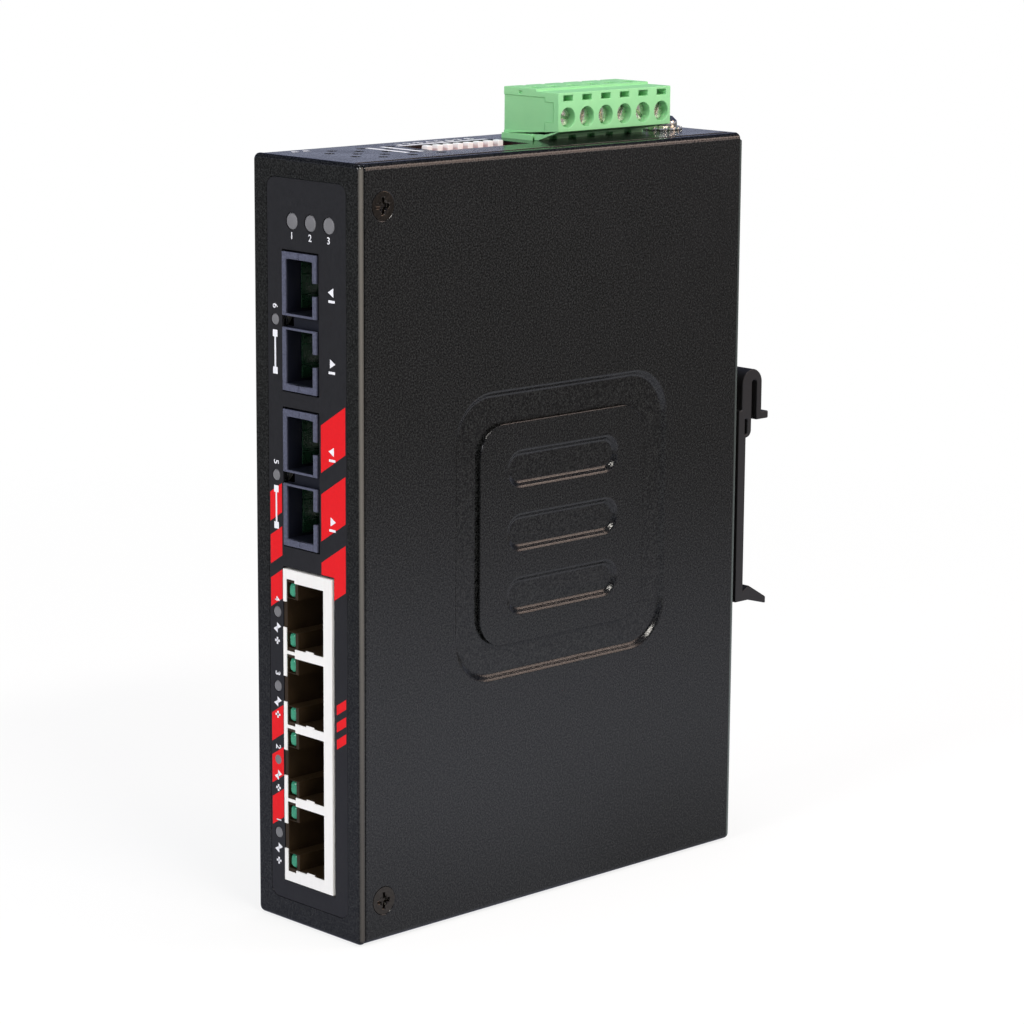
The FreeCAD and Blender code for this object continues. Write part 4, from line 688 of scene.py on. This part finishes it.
def arrow_head(radius, facing, place, degrees=0.0):
    """A printed triangle whose point is turned from straight up."""
    bpy.ops.object.select_all(action="DESELECT")
    bpy.ops.mesh.primitive_circle_add(vertices=3, radius=radius * MM, fill_type="NGON")
    turn = Matrix.Rotation(math.radians(degrees), 3, "Z")
    return lay(bpy.context.object, facing @ turn, place)


def bar(long, wide, facing, place):
    """A printed bar, long across its reading direction."""
    bpy.ops.object.select_all(action="DESELECT")
    bpy.ops.mesh.primitive_plane_add(size=1.0)
    piece = bpy.context.object
    piece.scale = (long * MM, wide * MM, 1.0)
    bpy.ops.object.transform_apply(location=False, rotation=False, scale=True)
    return lay(piece, facing, place)


def link_mark(facing, place, long):
    """Two squares joined by a line, for a link light; it reads along -Z."""
    x, y, z = place
    square = 1.25
    line = 0.4
    return [
        bar(square, square, facing, (x, y, z - square / 2)),
        bar(square, square, facing, (x, y, z - long + square / 2)),
        bar(long - 2 * square, line, facing, (x, y, z - long / 2)),
    ]


def power_mark(facing, place):
    """A small bolt and a plus sign, for a power light; it reads along -Z."""
    x, y, z = place
    bolt = 0.75
    bolt_shift = 0.3
    arm_long = 1.3
    arm_wide = 0.4
    plus_place = (x, y, z - 3.5)
    return [
        arrow_head(bolt, facing, (x + bolt_shift, y, z - 0.75)),
        arrow_head(bolt, facing, (x - bolt_shift, y, z - 1.35), 180.0),
        bar(arm_long, arm_wide, facing, plus_place),
        bar(arm_wide, arm_long, facing, plus_place),
    ]


def print_front_legend():
    """White numbers beside the lights, and plain signs where the ports are told apart."""
    face = FILM_LOW.y
    column = -8.5
    light_radius = 1.3
    number_above = 2.45
    sign_below = 0.6
    legend = []
    for number, height in enumerate(PORT_MIDDLES + FIBER_MIDDLES, start=1):
        legend.append(numeral(str(number), 1.3, FRONT_SIDEWAYS, (column, face, height + number_above)))
        start = (column, face, height - light_radius - sign_below)
        if number <= len(PORT_MIDDLES):
            legend += power_mark(FRONT_SIDEWAYS, start)
        else:
            legend += link_mark(FRONT_SIDEWAYS, start, 8.0)
    status_middle = 1.29
    status_pitch = 5.01
    status_height = 127.9
    for step in (-1, 0, 1):
        place = (status_middle + step * status_pitch, face, status_height)
        legend.append(numeral(str(step + 2), 1.25, FRONT_UPRIGHT, place))
    side = (FIBER_BOXES[0][1].x + FILM_HIGH.x) / 2
    bar_below = 1.6
    for middle in FIBER_MIDDLES:
        for sign, degrees in ((1, 90), (-1, -90)):
            port = middle + sign * FIBER_PITCH / 2
            legend.append(arrow_head(0.95, FRONT_UPRIGHT, (side, face, port), degrees))
            legend.append(bar(1.7, 0.45, FRONT_UPRIGHT, (side, face, port - bar_below)))
    thicken(join(legend), 2, WHITE_INK, "front_white_legend")


def print_top_legend():
    """White numbers beside the levers, and plain bars and points near the front of the top panel."""
    face = CASE_TOP
    numeral_out = 3.6
    line_out = 1.4
    legend = []
    for index in range(1, LEVER_COUNT + 1):
        low, high = limits(f"selector_lever_{index}")
        place = (BANK_LOW.x - numeral_out, (low.y + high.y) / 2, face)
        legend.append(numeral(str(index), 2.2, TOP_FACING, place))
    bank_middle = (BANK_LOW + BANK_HIGH) / 2
    line_place = (BANK_LOW.x - line_out, bank_middle.y, face)
    legend.append(bar(BANK_HIGH.y - BANK_LOW.y, 0.9, TOP_FACING, line_place))
    vent_start = 3.25
    vent_pitch = 3.5
    for step in (0, 1):
        place = (bank_middle.x - 1.5, BANK_LOW.y - vent_start - vent_pitch * step, face)
        legend.append(bar(1.1, 11.0, TOP_FACING, place))
    point_pitch = 2.6
    for step in (0, 1):
        legend.append(arrow_head(0.9, TOP_FACING, (-10.2, -43.0 + point_pitch * step, face)))
    thicken(join(legend), 1, WHITE_INK, "top_white_legend")


dress_case()
dress_jack()
dress_fiber_modules()
dress_terminal()
dress_top()
dress_lights()
print_bands()
print_front_legend()
print_top_legend()


def seen_rays(tree):
    """Light paths on which the white surroundings are seen: straight, mirrored or through something clear."""
    rays = add(tree, "ShaderNodeLightPath")
    mirror = add(tree, "ShaderNodeMath", {0: rays.outputs["Is Camera Ray"], 1: rays.outputs["Is Glossy Ray"]},
                 operation="MAXIMUM")
    seen = add(tree, "ShaderNodeMath", {0: mirror.outputs[0], 1: rays.outputs["Is Transmission Ray"]},
               operation="MAXIMUM")
    return rays, seen


def mirrored_floor(tree, place, far):
    """The floor's tone where the object mirrors it: greyer far off and before the front, and darkened at the
    foot as painted shadow.
    """
    grey_start = 0.13
    grey_full = 0.47
    side_face = WRAP_HIGH.x * MM
    fall = add(tree, "ShaderNodeMapRange", {"Value": far, "From Min": grey_start, "From Max": grey_full},
               interpolation_type="SMOOTHSTEP")
    axes = add(tree, "ShaderNodeSeparateXYZ", {"Vector": place})
    before = add(tree, "ShaderNodeMath", {0: axes.outputs["X"], 1: side_face}, operation="LESS_THAN")
    near_tone = add(tree, "ShaderNodeMixRGB", {"Fac": before.outputs[0], "Color1": linear("f8faff"),
                                               "Color2": linear("8085a0")})
    far_tone = add(tree, "ShaderNodeMixRGB", {"Fac": before.outputs[0], "Color1": linear("9c9790"),
                                              "Color2": linear("7c7d7e")})
    ground = add(tree, "ShaderNodeMixRGB",
                 {"Fac": fall.outputs["Result"], "Color1": near_tone.outputs["Color"],
                  "Color2": far_tone.outputs["Color"]})
    # Angle round the object from +X, in radians: the floor behind it is dimmer than the floor beside it
    angle = add(tree, "ShaderNodeMath", {0: axes.outputs["Y"], 1: axes.outputs["X"]}, operation="ARCTAN2")
    behind = add(tree, "ShaderNodeMapRange", {"Value": angle.outputs[0], "From Min": 0.5, "From Max": 1.0,
                                              "To Min": 1.08, "To Max": 0.72})
    # Painted shadow: the floor mirrored within a few centimetres beside the side face is darkened for the
    # contact shadow that the emitted tint leaves out
    foot = add(tree, "ShaderNodeMapRange", {"Value": axes.outputs["X"], "From Min": 0.02, "From Max": 0.075,
                                            "To Min": 0.55, "To Max": 1.0})
    painted_foot_shadow = add(tree, "ShaderNodeMath", {0: foot.outputs["Result"], 1: before.outputs[0]},
                operation="MAXIMUM")
    dim = add(tree, "ShaderNodeMath", {0: behind.outputs["Result"], 1: painted_foot_shadow.outputs[0]},
              operation="MULTIPLY")
    dimmed = add(tree, "ShaderNodeMixRGB", {"Fac": 1.0, "Color1": ground.outputs["Color"],
                                            "Color2": dim.outputs[0]}, blend_type="MULTIPLY")
    cool = add(tree, "ShaderNodeMixRGB", {"Fac": before.outputs[0], "Color1": linear("eff2ff"),
                                          "Color2": linear("ffffff")})
    cooled = add(tree, "ShaderNodeMixRGB", {"Fac": 1.0, "Color1": dimmed.outputs["Color"],
                                            "Color2": cool.outputs["Color"]}, blend_type="MULTIPLY")
    return cooled.outputs["Color"]


def stage_floor():
    """A pale floor, white to the camera away from the object's soft shadow, greyer where it is mirrored."""
    bpy.ops.object.select_all(action="DESELECT")
    bpy.ops.mesh.primitive_plane_add(size=24.0, location=(0, 0, -0.0002))
    floor = bpy.context.object
    floor.name = "studio_floor"
    material = bpy.data.materials.new("studio_floor_paint")
    material.use_nodes = True
    tree = material.node_tree
    tree.nodes.clear()
    paint = add(tree, "ShaderNodeBsdfDiffuse", {"Color": linear("f4f4f4")})
    rays, seen = seen_rays(tree)
    place = add(tree, "ShaderNodeTexCoord").outputs["Object"]
    far = add(tree, "ShaderNodeVectorMath", {0: place}, operation="LENGTH").outputs["Value"]
    tint = add(tree, "ShaderNodeMixRGB", {"Fac": rays.outputs["Is Glossy Ray"], "Color1": linear("ffffff"),
                                          "Color2": mirrored_floor(tree, place, far)})
    glow = add(tree, "ShaderNodeEmission", {"Color": tint.outputs["Color"], "Strength": 1.0})
    shadow_reach = 0.12
    shadow_end = 0.45
    fade = add(tree, "ShaderNodeMapRange", {"Value": far, "From Min": shadow_reach, "From Max": shadow_end,
                                            "To Min": 0.8, "To Max": 1.0})
    share = add(tree, "ShaderNodeMath", {0: seen.outputs[0], 1: fade.outputs["Result"]},
                operation="MULTIPLY")
    mixed = add(tree, "ShaderNodeMixShader", {0: share.outputs[0], 1: paint.outputs[0], 2: glow.outputs[0]})
    add(tree, "ShaderNodeOutputMaterial", {"Surface": mixed.outputs[0]})
    floor.data.materials.append(material)


def studio_world():
    """White surroundings, mirrored cool under a dim studio ceiling, and a plain fill on everything else."""
    world = bpy.data.worlds.new("studio_world")
    bpy.context.scene.world = world
    world.use_nodes = True
    tree = world.node_tree
    tree.nodes.clear()
    rays, seen = seen_rays(tree)
    glossy = rays.outputs["Is Glossy Ray"]
    fill = add(tree, "ShaderNodeBackground", {"Color": linear("fbfcff"), "Strength": 0.42})
    place = add(tree, "ShaderNodeTexCoord").outputs["Generated"]
    axes = add(tree, "ShaderNodeSeparateXYZ", {"Vector": place})
    ceiling = add(tree, "ShaderNodeMapRange",
                  {"Value": axes.outputs["Z"], "From Min": -0.02, "From Max": 0.21})
    above = add(tree, "ShaderNodeMath", {0: ceiling.outputs["Result"], 1: glossy}, operation="MULTIPLY")
    horizon = add(tree, "ShaderNodeMixRGB", {"Fac": glossy, "Color1": linear("ffffff"),
                                             "Color2": linear("e0e6ff")})
    shade = add(tree, "ShaderNodeMixRGB", {"Fac": above.outputs[0], "Color1": horizon.outputs["Color"],
                                           "Color2": linear("2f3856")})
    white = add(tree, "ShaderNodeBackground", {"Color": shade.outputs["Color"], "Strength": 1.0})
    mixed = add(tree, "ShaderNodeMixShader", {0: seen.outputs[0], 1: fill.outputs[0], 2: white.outputs[0]})
    add(tree, "ShaderNodeOutputWorld", {"Surface": mixed.outputs[0]})


def soft_box(name, place, aim, size, watts, tint="ffffff"):
    """A studio lamp, so wide and so tall, that faces a point of the object."""
    bpy.ops.object.select_all(action="DESELECT")
    bpy.ops.object.light_add(type="AREA", location=place)
    lamp = bpy.context.object
    lamp.name = name
    lamp.rotation_euler = (Vector(aim) - Vector(place)).to_track_quat("-Z", "Y").to_euler()
    lamp.data.shape = "RECTANGLE"
    lamp.data.size, lamp.data.size_y = size
    lamp.data.energy = watts
    lamp.data.color = linear(tint)[:3]


def photo_camera():
    """The camera at the photograph's place, worked out from the case's corners."""
    right = Vector((0.69128, 0.72256, 0.00672))
    up = Vector((-0.14945, 0.13387, 0.97967))
    back = Vector((0.70697, -0.67823, 0.20052))
    turn = Matrix((right, up, back)).transposed().to_euler()
    bpy.ops.object.camera_add(location=(0.45089, -0.43063, 0.19932), rotation=turn)
    camera = bpy.context.object
    camera.name = "photo_camera"
    camera.data.sensor_width = 36.0
    camera.data.lens = 117.6
    camera.data.clip_start = 0.01
    bpy.context.scene.camera = camera


bpy.context.scene.view_settings.view_transform = "Standard"
stage_floor()
studio_world()
soft_box("key_lamp", (0.92, -0.12, 0.98), (0, 0, 0.08), (0.55, 0.12), 9.0, "fffaf2")
soft_box("front_lamp", (0.1, -1.15, 0.65), (0, -0.04, 0.08), (0.4, 0.4), 7.0)
soft_box("rim_lamp_low", (0.926, 0.894, 0.4), (0, 0, 0.13), (0.25, 0.4), 1.6, "ffe2d0")
soft_box("rim_lamp_high", (0.674, 0.895, 0.82), (0, 0, 0.13), (0.4, 0.42), 3.2, "ffe4d4")
soft_box("top_lamp", (0.05, 0.1, 1.2), (0, 0, 0.14), (0.5, 0.5), 3.6, "eef2ff")
photo_camera()
